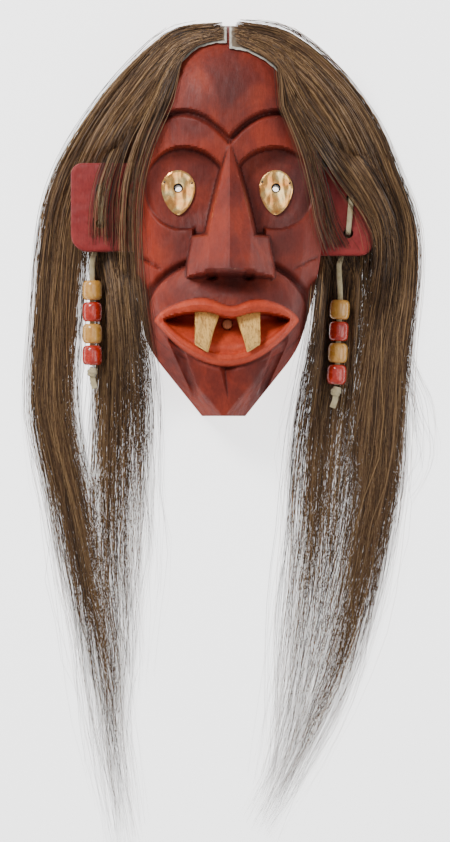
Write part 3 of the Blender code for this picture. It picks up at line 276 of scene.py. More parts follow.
def nose(x, y):
    left = x < NOSE_X + 0.3
    off = np.abs(x - NOSE_X - 0.3)
    run = np.clip((NOSE_ROOT_Y - y) / (NOSE_ROOT_Y - NOSE_BOTTOM_Y), 0.0, 1.3)
    ridge = NOSE_ROOT_HEIGHT + (DRAWN[2] + 1.0 - NOSE_ROOT_HEIGHT) * run
    blade_run = np.clip((NOSE_ROOT_Y - y) / (NOSE_ROOT_Y - WING_TOP_Y), 0.0, 1.4)
    blade_half = np.where(left, BLADE_HALF[0], BLADE_HALF[1]) * blade_run**0.9
    wing_half = np.where(left, WING_HALF[0], WING_HALF[1])
    wing_half = wing_half + WING_SPREAD * ease(WING_TOP_Y, NOSE_BOTTOM_Y, y)
    front = ridge - FACET_SLOPE * off
    front = front - (WING_SLOPE - FACET_SLOPE) * np.clip(off - 14.0, 0.0, None)
    blade = front - WALL_SLOPE * np.clip(off - blade_half, 0.0, None)
    wing_out = soft_max(off - wing_half, y - WING_TOP_Y, 0.6)
    wings = front - WALL_SLOPE * np.clip(wing_out, 0.0, None)
    shape = np.maximum(blade, wings)
    shape = shape - 8.0 * np.clip(NOSE_BOTTOM_Y - 0.004 * off**2 - y, 0.0, None)
    return shape - 2.0 * np.clip(y - NOSE_ROOT_Y + 1.0, 0.0, None)


NOSTRILS = ((-11.5, 97.0), (14.0, 97.0))
# The scoop below the nose deepens up to it, and stops at its foot.
SCOOP_DEEPENS = (82.0, 95.0)
SCOOP_STOPS = (100.5, 98.0)


def under_nose(x, y):
    hollow = np.exp(-(((x - 1.5) / 19.0) ** 2)) * ease(*SCOOP_DEEPENS, y) * ease(*SCOOP_STOPS, y)
    z = -5.0 * hollow
    for pit_x, pit_y in NOSTRILS:
        ring = np.sqrt(((x - pit_x) / 5.0) ** 2 + ((y - pit_y) / 3.4) ** 2)
        z = z - 7.0 * ease(1.15, 0.5, ring)
    return z


# Mouth: two bowed lips round a hollow that deepens towards the palate.
MOUTH_X = -0.9
MOUTH_Y = 66.0
LIPS_HALF = 50.3
GAP_HALF = 43.8
LIP_RISE = 3.6
PALATE_DEPTH = 17.0
# Rise above the mouth's corners, dip in the middle, and drop below them: the lips, then the gap.
LIPS_BOW = (17.0, 7.6, 31.5)
GAP_BOW = (7.2, 5.4, 23.6)


def bow(x, half, up, dip, down):
    """Upper and lower edge of a bowed almond: its height, the dip at its middle, its drop."""
    share = np.clip(np.abs(x - MOUTH_X) / half, 0.0, 1.0)
    dipped = dip * np.exp(-(((x - 1.6) / 13.0) ** 2))
    upper = MOUTH_Y + up * (1.0 - share**2) ** 0.62 - dipped
    return upper, MOUTH_Y - down * (1.0 - share**2)


def carve_mouth(x, y, z, plain):
    outer_up, outer_down = bow(x, LIPS_HALF, *LIPS_BOW)
    inner_up, inner_down = bow(x, GAP_HALF, *GAP_BOW)
    outside = 0.85 * np.maximum(y - outer_up, outer_down - y)
    outside = np.maximum(outside, np.abs(x - MOUTH_X) - LIPS_HALF)
    beyond = 0.85 * np.maximum(y - inner_up, inner_down - y)
    beyond = np.maximum(beyond, np.abs(x - MOUTH_X) - GAP_HALF)
    lips = LIP_RISE * ease(0.5, -1.2, outside) + 1.4 * ease(-1.0, -4.0, outside)
    roll = -3.0 * ease(4.0, 0.0, beyond) * ease(0.4, -0.6, outside)
    below = -1.8 * ease(3.0, 0.2, outside) * ease(64.0, 50.0, y)
    z = z + lips + roll + below
    share = np.clip((y - inner_down) / np.maximum(inner_up - inner_down, 1e-3), 0.0, 1.0)
    cavity = plain - 3.5 - PALATE_DEPTH * ease(0.0, 0.85, share)
    z = z + (np.minimum(cavity, z) - z) * ease(0.4, -1.0, beyond)
    return z, outside


# Chin: a notch under the lip, and a flute down each side of the jaw.
NOTCH_APEX_Y = 10.5
NOTCH_TOP_Y = 36.0
# Across the notch's top: its left edge, its deepest line and its right edge.
NOTCH_ACROSS = (-6.6, -2.2, 7.2)
NOTCH_DEPTH = 6.4


def cut_chin(x, y, z, outside_lips):
    share = np.clip((y - NOTCH_APEX_Y) / (NOTCH_TOP_Y - NOTCH_APEX_Y), 0.0, 1.0)
    left, deepest, right = (place * np.maximum(share, 1e-3) for place in NOTCH_ACROSS)
    across = np.minimum((x - left) / (deepest - left), (right - x) / (right - deepest))
    cut = NOTCH_DEPTH * share * np.clip(across, 0.0, 1.0) * ease(46.0, 40.0, y)
    down = np.clip((52.0 - y) / 36.0, 0.0, 1.0)
    off = (np.abs(x - 0.2) - (37.0 - 14.0 * down)) / (4.8 - 2.0 * down)
    flute = np.clip(1.0 - off**2, 0.0, 1.0) * ease(10.0, 24.0, y) * ease(60.0, 52.0, y)
    return z - (cut + 4.6 * flute) * ease(0.0, 1.0, outside_lips)


WRINKLES = ((57.5, 108.6, 1.0), (51.5, 104.4, 0.8))


def cut_wrinkles(x, y, z):
    """Two short gouged lines at the edge of each cheek, deeper on the left."""
    off = np.abs(x - centre_line(y))
    for at_x, at_y, strength in WRINKLES:
        along = (off - at_x) / 6.5
        up = (y - at_y - 0.45 * (off - at_x)) / 2.2
        gouge = np.where(up > 0.0, ease(1.8, 0.0, up), ease(-0.6, 0.0, up))
        side = np.where(x < 0.0, 1.0, 0.6)
        z = z - 3.2 * strength * side * np.clip(1.0 - along**2, 0.0, 1.0) * gouge
    return z


def carving(x, y):
    """Height of the finished front over the drawing, in drawn units."""
    plain = dome(x, y)
    z = cut_sockets(x, y, plain + brow_step(x, y))
    rise, crease = muzzle(x, y)
    z = soft_max(z + rise + crease, nose(x, y), 1.0) + under_nose(x, y)
    z, outside_lips = carve_mouth(x, y, z, plain + rise)
    z = cut_chin(x, y, z, outside_lips)
    return cut_wrinkles(x, y, z)


# The hollow at the back, kept clear of the deepest carving. Its cutter starts under the rim.
UNDER_RIM = -5.0
HOLLOW_HEIGHT = 47.0
HOLLOW_FOREHEAD = 62.0
HOLLOW_CHIN = 38.0
HOLLOW_UPPER_RUN = (188.0, 214.0)
HOLLOW_LOWER_RUN = (50.0, 14.0)


def hollow_y(y):
    """A height on the face moved in from the chin and the crown by the rim's width."""
    rim = drawn(RIM_WIDTH, 1)
    return (y - rim) * DRAWN[1] / (DRAWN[1] - 2.0 * rim)


def hollow_half_width(y):
    return half_width(hollow_y(y)) * (1.0 - 2.0 * RIM_WIDTH / FACE_WIDTH)


def hollow(x, y):
    share = np.clip(np.abs(x - centre_line(y)) / hollow_half_width(y), 0.0, 1.0)
    depth = HOLLOW_HEIGHT + (HOLLOW_FOREHEAD - HOLLOW_HEIGHT) * ease(*HOLLOW_UPPER_RUN, y)
    depth = depth + (HOLLOW_CHIN - HOLLOW_HEIGHT) * ease(*HOLLOW_LOWER_RUN, y)
    along = np.abs(2.0 * hollow_y(y) / DRAWN[1] - 1.0)
    ends = np.sqrt(np.clip(1.0 - along**7, 0.0, 1.0))
    return depth * (1.0 - share**3.6) ** 0.6 * ends


# Places on the drawing of what is set in or laid on the face, in drawn units.
EYES = {"left": (-34.6, 158.3), "right": (33.3, 158.3)}
TACKS_ROUND_EYE = ((-9.4, 4.2), (9.4, 3.4), (0.0, -17.2))
TEETH = {"left": (-16.0, 61.0), "right": (15.4, 61.0)}
TOOTH_FRONT = 84.0
STUB = (-0.4, 63.6)
EAR_OUT = {"left": -110.8, "right": 102.4}
EAR_BOTTOM = {"left": 116.0, "right": 113.2}
EAR_TALL = 62.5
EAR_BACK = 21.0
# Radii of the ear's upper and lower outer corner.
EAR_CORNERS = {"left": (8.0, 12.0), "right": (9.0, 9.0)}
STITCH_HOLES = {
    "left": ((-89.6, 160.3), (-89.6, 135.8)),
    "right": ((86.8, 153.3), (84.7, 128.8)),
}
# The hide's lower edge: its height at the parting, and the bend and its power outward.
HIDE_LOWER = {"left": (257.8, 0.000418, 3.0), "right": (253.6, 0.0131, 2.0)}
HIDE_END = 44.0
HIDE_SET_IN = 2.2
THONG_EXIT = {"left": (-95.2, 113.6), "right": (79.8, 110.6)}
FIRST_BEAD = {"left": (-96.5, 89.4), "right": (79.5, 75.6)}
BEAD_LEAN = {"left": 0.0, "right": 0.045}
BEAD_AXIS_HEIGHT = 12.9


# Locks of hair, from the outer one inwards: whether it lies over the ear instead of behind it,
# its width, and the points of its route over the drawing, from the parting down.
LOCKS = {
    "left": (
        (False, 15, ((-3, 269), (-36, 262), (-71, 232), (-98, 198), (-115, 164), (-123, 129),
                     (-127, 67), (-128, 5), (-113, -60), (-101, -127), (-86, -207),
                     (-76, -280), (-71, -314))),
        (False, 15, ((-3, 267), (-35, 259), (-64, 227), (-88, 195), (-104, 162), (-112, 127),
                     (-118, 67), (-119, -8), (-108, -92), (-100, -127), (-86, -176),
                     (-81, -215))),
        (False, 14, ((-3, 265), (-34, 256), (-57, 223), (-78, 192), (-91, 160), (-90, 122),
                     (-83, 70), (-84, -8), (-85, -78), (-81, -167), (-83, -235),
                     (-73, -298))),
        (True, 8, ((-5, 264), (-36, 253), (-60, 219), (-79, 186), (-88, 158), (-90, 130),
                   (-87, 95), (-80, 30), (-76, -40), (-74, -110))),
        (True, 11, ((-4, 262), (-33, 252), (-51, 219), (-66, 188), (-75, 158), (-77, 130),
                    (-76, 95), (-72, 36), (-74, -45), (-77, -122), (-76, -202))),
        (True, 11, ((-4, 261), (-32, 250), (-48, 214), (-60, 186), (-67, 158), (-69, 120),
                    (-66, 70), (-59, 3), (-63, -59), (-60, -94), (-63, -195))),
        (False, 12, ((-6, 262), (-34, 250), (-52, 219), (-68, 189), (-74, 155), (-72, 112),
                     (-68, 60), (-65, 0), (-68, -60), (-69, -120), (-71, -180))),
    ),
    "right": (
        (False, 15, ((4, 270), (37, 262), (71, 238), (97, 206), (113, 168), (125, 131),
                     (124, 90), (117, 40), (111, -36), (102, -82), (92, -130), (76, -191),
                     (50, -249), (24, -300))),
        (False, 15, ((4, 267), (35, 258), (65, 232), (89, 199), (106, 163), (116, 128),
                     (112, 62), (104, 0), (101, -68), (85, -140), (66, -202), (44, -253),
                     (31, -274))),
        (True, 12, ((5, 265), (34, 253), (56, 224), (78, 193), (98, 163), (112, 134),
                    (114, 100), (104, 40), (94, -30), (72, -148), (54, -214), (44, -244))),
        (True, 11, ((6, 263), (33, 247), (50, 216), (68, 189), (86, 165), (102, 142),
                    (111, 115), (106, 70), (94, 0), (82, -75), (68, -130))),
        (False, 14, ((7, 261), (33, 247), (48, 213), (69, 186), (82, 152), (84, 112),
                     (80, 52), (71, -27), (64, -103), (56, -181), (36, -260), (23, -288))),
        (False, 13, ((6, 262), (34, 249), (50, 216), (70, 187), (75, 160), (73, 120),
                     (67, 50), (58, -26), (53, -100), (44, -185), (35, -245), (28, -275))),
        (True, 9, ((8, 259), (31, 242), (42, 213), (54, 186), (63, 157), (70, 130),
                   (82, 104), (92, 76), (96, 40), (90, -10), (84, -60))),
        (False, 8, ((112, 120), (121, 57), (132, 1), (135, -22), (131, -45), (125, -62))),
    ),
}


# What the hair keeps clear of, in metres.
EAR_THICKNESS = 0.011
HIDE_THICKNESS = 0.0025
THONG_WIDTH = 0.004
THONG_THICKNESS = 0.0026
BEAD_DIAMETER = 0.014
BEAD_LENGTH = 0.0138
BEAD_PITCH = 0.0154
BEAD_COUNT = 4
KNOT_LENGTH = 0.009
KNOT_DIAMETER = 0.0075
TAIL_LENGTH = 0.007
TAIL_SWING = 0.0021

# The hair's own measures, which its bed needs, and the steps between two points of a route.
HEAD_FULLNESS = 0.95
EAR_TUCK = 2.0
EAR_TUCK_GAP = 1.0
HEAD_FALL = 46.0
CHEEK_FALL = 26.0
EAR_FALL = 24.0
CROWN_REACH = 62.0
OVER_EAR_FROM = (-6.0, 40.0)
LOCK_THICKNESS = 0.0075
ROUTE_STEPS = 24


def smooth_route(points, count):
    """Count points at equal steps along a smooth curve through the route's own points."""
    points = np.asarray(points, float)
    ends = np.vstack([2 * points[0] - points[1], points, 2 * points[-1] - points[-2]])
    steps = np.linspace(0.0, 1.0, ROUTE_STEPS, endpoint=False)[:, None]
    fine = []
    for a, b, c, d in zip(ends, ends[1:], ends[2:], ends[3:]):
        square = 2 * a - 5 * b + 4 * c - d
        cube = 3 * b - a - 3 * c + d
        fine.append(0.5 * (2 * b + (c - a) * steps + square * steps**2 + cube * steps**3))
    fine = np.vstack([*fine, points[-1:]])
    along = np.concatenate([[0.0], np.cumsum(np.linalg.norm(np.diff(fine, axis=0), axis=1))])
    at = along[-1] * np.linspace(0.0, 1.0, count)
    return np.stack([np.interp(at, along, axis) for axis in fine.T], axis=1)


def fuller_head(x, y):
    """The plain face made fuller towards its outline, which the hair is kept clear of."""
    middle = centre_line(y)
    x = middle + (x - middle) * HEAD_FULLNESS
    return dome(x, np.minimum(y, DRAWN[1] - 3.0)) + 1.0


def hide_lower_edge(side, x):
    top, bend, power = HIDE_LOWER[side]
    return top - bend * np.abs(x) ** power


def past_ear(side, x, y):
    """How far a place lies outside the ear's own box, in drawn units: below 0 inside it."""
    up = np.abs(y - EAR_BOTTOM[side] - EAR_TALL / 2) - EAR_TALL / 2
    return np.maximum(up, np.abs(x) - abs(EAR_OUT[side]))


def hair_bed(side, x, y, over_ear):
    """What the hair lies on, in drawn units: the head, the hide, the ear or the floor."""
    share = np.clip(np.abs(x) / (DRAWN[0] / 2), 0.0, 3.0)
    rise = np.clip((y - WIDEST_Y) / OVAL_ABOVE, 0.0, 2.0)
    past = (share**OVAL_ACROSS + rise**OVAL_UP) ** (1.0 / OVAL_ACROSS)
    beside = np.abs(x - centre_line(y)) - half_width(y)
    out = np.where(y > WIDEST_Y, (past - 1.0) * CROWN_REACH, beside)
    inside_y = np.clip(y, 1.0, DRAWN[1] - 1.0)
    limit = half_width(inside_y) - 0.3
    inside_x = centre_line(inside_y) + np.clip(x - centre_line(inside_y), -limit, limit)
    clear = above_dome(inside_x, inside_y, drawn(CARVING_GAP))
    head = np.maximum(clear, fuller_head(inside_x, inside_y))
    on_hide = ease(-8.0, 1.0, y - hide_lower_edge(side, x)) * ease(54.0, 46.0, np.abs(x))
    head = head + drawn(HIDE_THICKNESS + 2 * TOUCH_GAP) * on_hide
    fall = ease(HEAD_FALL, -2.0, out)
    if over_ear:
        fall = ease(CHEEK_FALL, -2.0, out) * ease(*OVER_EAR_FROM, y)
    bed = head * np.where(out < 0.0, 1.0, fall)
    ear_top = EAR_BACK + drawn(EAR_THICKNESS + TOUCH_GAP)
    reach = past_ear(side, x, y)
    if over_ear:
        bed = np.maximum(bed, ear_top * ease(EAR_FALL, 0.0, reach))
    else:
        under = EAR_BACK - drawn(LOCK_THICKNESS) - EAR_TUCK_GAP
        bed = np.minimum(bed, under + EAR_TUCK * np.clip(reach - 2.0, 0.0, None))
    return np.maximum(bed, 0.0)


def discard(*objects):
    for obj in objects:
        bpy.data.objects.remove(obj)


def linked(name, data):
    """A new object in the scene, of a mesh, a camera or a light."""
    obj = bpy.data.objects.new(name, data)
    bpy.context.scene.collection.objects.link(obj)
    return obj


def from_bmesh(name, bm, material=None):
    """An object from a bmesh, which is then freed."""
    mesh = bpy.data.meshes.new(name)
    bm.to_mesh(mesh)
    bm.free()
    if material:
        mesh.materials.append(material)
    return linked(name, mesh)


def dress(piece, node):
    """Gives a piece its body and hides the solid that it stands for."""
    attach(piece, "root")
    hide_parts(node)


def mesh_object(name, points, faces, material):
    """An object from its points in metres and its faces, all of one size or in a list of arrays."""
    points = np.asarray(points, np.float32).reshape(-1, 3)
    faces = faces if isinstance(faces, list) else [faces]
    loops = np.concatenate([group.ravel() for group in faces]).astype(np.int32)
    sizes = np.concatenate([np.full(len(group), group.shape[1]) for group in faces])
    starts = np.concatenate([[0], np.cumsum(sizes)[:-1]]).astype(np.int32)
    mesh = bpy.data.meshes.new(name)
    mesh.vertices.add(len(points))
    mesh.vertices.foreach_set("co", points.ravel())
    mesh.loops.add(len(loops))
    mesh.loops.foreach_set("vertex_index", loops)
    mesh.polygons.add(len(sizes))
    mesh.polygons.foreach_set("loop_start", starts)
    mesh.update(calc_edges=True)
    mesh.polygons.foreach_set("use_smooth", np.full(len(sizes), True))
    mesh.materials.append(material)
    return linked(name, mesh)


def paint(obj, name, values):
    """Stores one number a point on the mesh, for its material to read."""
    layer = obj.data.attributes.new(name, "FLOAT", "POINT")
    layer.data.foreach_set("value", np.asarray(values, np.float32).ravel())


def points_of(obj):
    points = np.empty(len(obj.data.vertices) * 3, np.float32)
    obj.data.vertices.foreach_get("co", points)
    return points.reshape(-1, 3).astype(float)


def sharpen(obj, degrees=35.0):
    obj.data.shade_smooth()
    obj.data.set_sharp_from_angle(angle=math.radians(degrees))


def rings(count, sides):
    """Faces that join sections of equal length into a tube, with an n-gon at each end."""
    near = np.arange(sides)
    far = (near + 1) % sides
    base = np.arange(count - 1)[:, None] * sides
    quads = np.stack([base + near, base + far, base + sides + far, base + sides + near], axis=-1)
    return [quads.reshape(-1, 4), near[::-1][None], (near + (count - 1) * sides)[None]]


def closed_quads(count, sides):
    """Faces of a grid of points that closes on itself both ways."""
    at = np.arange(count * sides).reshape(count, sides)
    following = np.roll(at, -1, axis=0)
    corners = [at, np.roll(at, -1, axis=1), np.roll(following, -1, axis=1), following]
    return np.stack(corners, axis=-1).reshape(-1, 4)


def grid(rows, columns):
    """Faces of a grid of points, and the loop of the points round its edge."""
    at = np.arange(rows * columns).reshape(rows, columns)
    quads = np.stack([at[:-1, :-1], at[:-1, 1:], at[1:, 1:], at[1:, :-1]], axis=-1)
    loop = np.concatenate([at[0, :-1], at[:-1, -1], at[-1, :0:-1], at[:0:-1, 0]])
    return quads.reshape(-1, 4), loop


def frames_along(path):
    """Side and upward vectors at each point of paths, of shape (..., points, 3)."""
    heading = np.gradient(path, axis=-2)
    heading /= np.linalg.norm(heading, axis=-1, keepdims=True) + 1e-12
    side = np.cross(heading, UP)
    side /= np.linalg.norm(side, axis=-1, keepdims=True) + 1e-9
    return side, np.cross(side, heading)


def outward(obj):
    """Turns an object's faces outward."""
    bm = bmesh.new()
    bm.from_mesh(obj.data)
    bmesh.ops.recalc_face_normals(bm, faces=bm.faces)
    if bm.calc_volume(signed=True) < 0.0:
        bmesh.ops.reverse_faces(bm, faces=bm.faces)
    bm.to_mesh(obj.data)
    bm.free()


def solid(name, points, faces, material, degrees=None):
    """A closed object with its faces turned outward. Edges bent more than this stay sharp."""
    obj = mesh_object(name, points, faces, material)
    outward(obj)
    if degrees:
        sharpen(obj, degrees)
    return obj


STRAP_UNEVEN = 0.08
STRAP_SQUARENESS = 0.6


def strap(name, path, width, thickness, material, sides=14):
    """A closed strip of soft leather along a path in metres, uneven along its edges."""
    path = np.asarray(path, float)
    side, up = frames_along(path)
    across, high = squarish(turns_round(sides), STRAP_SQUARENESS)
    uneven = 1.0 - STRAP_UNEVEN * RNG.random((len(path), sides))
    reach = across * width / 2 * uneven
    lift = high * thickness / 2 * uneven
    points = path[:, None] + side[:, None] * reach[..., None] + up[:, None] * lift[..., None]
    return solid(name, points, rings(len(path), sides), material)


def bake(obj):
    """Applies an object's modifiers."""
    graph = bpy.context.evaluated_depsgraph_get()
    mesh = bpy.data.meshes.new_from_object(obj.evaluated_get(graph))
    obj.modifiers.clear()
    obj.data = mesh


def combine(target, helper, operation):
    modifier = target.modifiers.new(helper.name, "BOOLEAN")
    modifier.operation = operation
    modifier.object = helper
    modifier.solver = "MANIFOLD"


def wrinkled(points, size, seed):
    """A smooth pseudo-random number from -1 to 1 at each point, with bumps of about this size."""
    rng = np.random.default_rng(seed)
    total = np.zeros(points.shape[:-1])
    for _ in range(6):
        wave = rng.normal(size=3) / size * 2.2
        total += np.sin(points @ wave + rng.uniform(0, 2 * math.pi))
    return total / 3.5


def set_stops(ramp, stops):
    """Sets a ramp's stops: their places, each with a colour or a grey."""
    while len(ramp.elements) < len(stops):
        ramp.elements.new(0.5)
    for element, (place, colour) in zip(ramp.elements, stops):
        element.position = place
        grey = not hasattr(colour, "__len__")
        element.color = (colour, colour, colour, 1.0) if grey else (*colour, 1.0)


class Nodes:
    """A material's node tree, with short calls for the nodes that the finishes use."""

    def __init__(self, name):
        self.material = bpy.data.materials.new(name)
        self.material.use_nodes = True
        self.tree = self.material.node_tree
        self.shader = self.tree.nodes["Principled BSDF"]
        self.where = self.tree.nodes.new("ShaderNodeTexCoord").outputs["Object"]

    def set(self, **values):
        for key, value in values.items():
            self.shader.inputs[key.replace("_", " ")].default_value = value

    def feed(self, socket, value):
        """Links a socket to another, or sets its number or colour."""
        if isinstance(value, bpy.types.NodeSocket):
            self.tree.links.new(value, socket)
        else:
            socket.default_value = (*value, 1.0) if hasattr(value, "__len__") else value

    def add(self, kind, **inputs):
        node = self.tree.nodes.new("ShaderNode" + kind)
        for name, value in inputs.items():
            self.feed(node.inputs[name], value)
        return node

    def stretched(self, scale):
        node = self.add("Mapping", Vector=self.where)
        node.inputs["Scale"].default_value = scale
        return node.outputs["Vector"]

    def noise(self, scale, detail=4.0, roughness=0.55, distortion=0.0):
        """Noise over the object's own coordinates; scale is bumps a metre along X, Y and Z."""
        node = self.add("TexNoise", Scale=1.0, Detail=detail, Roughness=roughness)
        self.feed(node.inputs["Distortion"], distortion)
        self.feed(node.inputs["Vector"], self.stretched(scale))
        return node.outputs["Fac"]

    def cells(self, scale):
        """Rounded cells over the object's own coordinates, low in the middle of each."""
        node = self.add("TexVoronoi", Scale=1.0, Vector=self.stretched(scale))
        node.feature = "SMOOTH_F1"
        return node.outputs["Distance"]

    def attribute(self, name):
        node = self.add("Attribute")
        node.attribute_name = name
        return node.outputs["Fac"]

    def ramp(self, source, *stops):
        """Colour or grey by a factor, from (place, colour) stops."""
        node = self.add("ValToRGB", Fac=source)
        set_stops(node.color_ramp, stops)
        return node.outputs["Color"]

    def mix(self, factor, a, b, blend="MIX"):
        node = self.add("Mix")
        node.data_type = "RGBA"
        node.blend_type = blend
        for value, place in ((factor, 0), (a, 6), (b, 7)):
            self.feed(node.inputs[place], value)
        return node.outputs[2]

    def times(self, a, b):
        node = self.add("Math")
        node.operation = "MULTIPLY"
        for value, place in ((a, 0), (b, 1)):
            self.feed(node.inputs[place], value)
        return node.outputs["Value"]

    def colour(self, source):
        self.feed(self.shader.inputs["Base Color"], source)

    def roughness(self, source):
        self.feed(self.shader.inputs["Roughness"], source)

    def bump(self, *layers):
        """Bump from (height, depth in metres) layers, one on another."""
        normal = None
        for height, depth in layers:
            node = self.add("Bump", Distance=depth, Height=height)
            if normal:
                self.feed(node.inputs["Normal"], normal)
            normal = node.outputs["Normal"]
        self.feed(self.shader.inputs["Normal"], normal)


def painted_wood():
    """Red staining rubbed into carved wood, orange on the lips, with painted shade in the hollows,
    creases, sockets, mouth and eye bores and over the right side, and painted highlights on the lit
    left facets and, with real wear, along the carved edges.
    """
    nodes = Nodes("painted wood look")
    cloud = nodes.noise((38.0, 24.0, 38.0), 6.0, 0.6, 0.6)
    blotch = nodes.noise((95.0, 70.0, 95.0), 5.0, 0.62)
    grain = nodes.noise((900.0, 55.0, 900.0), 4.0, 0.6, 1.5)
    red = nodes.ramp(
        cloud,
        (0.26, (0.110, 0.018, 0.014)),
        (0.46, (0.200, 0.028, 0.018)),
        (0.60, (0.300, 0.040, 0.020)),
        (0.76, (0.390, 0.056, 0.024)),
    )
    dark = nodes.ramp(blotch, (0.3, (0.040, 0.012, 0.013)), (0.7, (0.100, 0.024, 0.020)))
    # The brighter red of the painted highlights.
    painted_highlight = nodes.ramp(blotch, (0.3, (0.38, 0.034, 0.012)), (0.7, (0.50, 0.052, 0.016)))
    lip = nodes.ramp(blotch, (0.28, (0.46, 0.045, 0.018)), (0.72, (0.64, 0.086, 0.034)))
    # Painted shade: the lip colour darkens deep inside the mouth.
    lip = nodes.mix(nodes.attribute("deep"), lip, (0.27, 0.015, 0.006))
    crimson = nodes.ramp(blotch, (0.3, (0.24, 0.024, 0.024)), (0.7, (0.33, 0.038, 0.034)))
    colour = nodes.mix(nodes.attribute("crimson"), red, crimson)
    colour = nodes.mix(nodes.attribute("painted_highlight"), colour, painted_highlight)
    uneven = nodes.ramp(blotch, (0.30, 0.55), (0.62, 1.0))
    # Darkening towards the dark colour: partly real staining, partly painted shade.
    stain_and_shade = nodes.times(nodes.attribute("stain_and_shade"), uneven)
    colour = nodes.mix(stain_and_shade, colour, dark)
    colour = nodes.mix(nodes.attribute("lip"), colour, lip)
    streak = nodes.ramp(grain, (0.35, 0.78), (0.55, 1.0))
    colour = nodes.mix(0.55, colour, streak, "MULTIPLY")
    mottle = nodes.ramp(nodes.noise((620.0, 420.0, 620.0), 5.0, 0.7), (0.36, 0.70), (0.62, 1.0))
    colour = nodes.mix(0.55, colour, mottle, "MULTIPLY")
    bare = nodes.ramp(nodes.noise((700.0, 500.0, 700.0), 3.0, 0.7), (0.66, 0.0), (0.74, 1.0))
    # Paler along the carved edges: partly real wear, partly a painted highlight.
    worn = nodes.times(nodes.attribute("worn"), bare)
    colour = nodes.mix(worn, colour, (0.62, 0.27, 0.17))
    back = nodes.ramp(grain, (0.3, (0.30, 0.17, 0.085)), (0.7, (0.46, 0.29, 0.16)))
    colour = nodes.mix(nodes.attribute("raw"), colour, back)
    # Painted shade: near black in the eye bores and on the wood round them.
    colour = nodes.mix(nodes.attribute("painted_bore_shade"), colour, (0.012, 0.008, 0.008))
    nodes.colour(colour)
    nodes.roughness(nodes.ramp(blotch, (0.3, 0.40), (0.7, 0.56)))
    nodes.set(Specular_IOR_Level=0.22)
    knife = nodes.cells((230.0, 120.0, 230.0))
    nodes.bump((knife, 0.0005), (grain, 0.00022), (blotch, 0.0004))
    return nodes.material


def copper_sheet():
    nodes = Nodes("copper look")
    cloud = nodes.noise((150.0, 150.0, 150.0), 3.0, 0.45)
    colour = nodes.ramp(
        cloud, (0.3, (0.84, 0.32, 0.09)), (0.5, (0.98, 0.52, 0.17)), (0.68, (1.0, 0.72, 0.33))
    )
    nodes.colour(colour)
    nodes.roughness(nodes.ramp(nodes.noise((900.0, 900.0, 900.0)), (0.3, 0.12), (0.7, 0.24)))
    nodes.set(Metallic=1.0)
    dents = nodes.noise((150.0, 70.0, 150.0), 1.0, 0.4)
    brushed = nodes.noise((2600.0, 300.0, 600.0), 3.0, 0.6)
    nodes.bump((dents, 0.0012), (brushed, 0.000015))
    return nodes.material


def tack_steel():
    nodes = Nodes("tack look")
    cloud = nodes.noise((1800.0, 1800.0, 1800.0))
    nodes.colour(nodes.ramp(cloud, (0.3, (0.05, 0.035, 0.028)), (0.7, (0.16, 0.11, 0.08))))
    nodes.set(Metallic=0.85, Roughness=0.42)
    nodes.bump((cloud, 0.0001))
    return nodes.material


def split_wood(name, pale, deep):
    """Wood split along its fibres, which run along Y."""
    nodes = Nodes(name)
    fibre = nodes.noise((640.0, 45.0, 640.0), 6.0, 0.7, 1.2)
    cloud = nodes.noise((160.0, 60.0, 160.0), 3.0, 0.5)
    wood = nodes.ramp(fibre, (0.36, deep), (0.50, pale), (0.72, [min(1.0, c * 1.25) for c in pale]))
    shade = nodes.ramp(cloud, (0.3, 0.72), (0.65, 1.0))
    nodes.colour(nodes.mix(0.8, wood, shade, "MULTIPLY"))
    nodes.roughness(nodes.ramp(cloud, (0.3, 0.62), (0.7, 0.8)))
    nodes.bump((fibre, 0.0006))
    return nodes.material


def tan_bead():
    nodes = Nodes("tan bead look")
    ring = nodes.noise((420.0, 90.0, 420.0), 4.0, 0.55, 0.8)
    cloud = nodes.noise((160.0, 160.0, 160.0), 3.0)
    wood = nodes.ramp(
        ring, (0.25, (0.54, 0.22, 0.035)), (0.5, (0.72, 0.35, 0.070)), (0.78, (0.82, 0.47, 0.12))
    )
    shade = nodes.ramp(cloud, (0.3, 0.8), (0.7, 1.0))
    nodes.colour(nodes.mix(0.7, wood, shade, "MULTIPLY"))
    nodes.roughness(nodes.ramp(cloud, (0.3, 0.20), (0.7, 0.34)))
    nodes.set(Coat_Weight=0.7, Coat_Roughness=0.09)
    nodes.bump((ring, 0.00012))
    return nodes.material


def red_bead():
    nodes = Nodes("red bead look")
    cloud = nodes.noise((300.0, 300.0, 300.0), 4.0, 0.6)
    chips = nodes.ramp(nodes.noise((900.0, 700.0, 900.0), 4.0, 0.7), (0.66, 0.0), (0.70, 1.0))
    coat = nodes.ramp(cloud, (0.3, (0.34, 0.014, 0.007)), (0.65, (0.58, 0.030, 0.012)))
    nodes.colour(nodes.mix(chips, coat, (0.30, 0.13, 0.07)))
    nodes.roughness(nodes.ramp(cloud, (0.3, 0.16), (0.7, 0.32)))
    nodes.set(Coat_Weight=0.8, Coat_Roughness=0.07)
    nodes.bump((cloud, 0.0005), (chips, 0.0001))
    return nodes.material


def suede(name, pale, deep):
    nodes = Nodes(name)
    nap = nodes.noise((2200.0, 1500.0, 2200.0), 4.0, 0.7)
    cloud = nodes.noise((240.0, 160.0, 240.0), 4.0, 0.6)
    worn = nodes.ramp(cloud, (0.3, deep), (0.62, pale))
    shade = nodes.ramp(nap, (0.3, 0.74), (0.65, 1.0))
    nodes.colour(nodes.mix(0.8, worn, shade, "MULTIPLY"))
    nodes.set(Roughness=0.92, Sheen_Weight=0.3, Sheen_Roughness=0.5)
    nodes.bump((nap, 0.0005), (cloud, 0.0006))
    return nodes.material


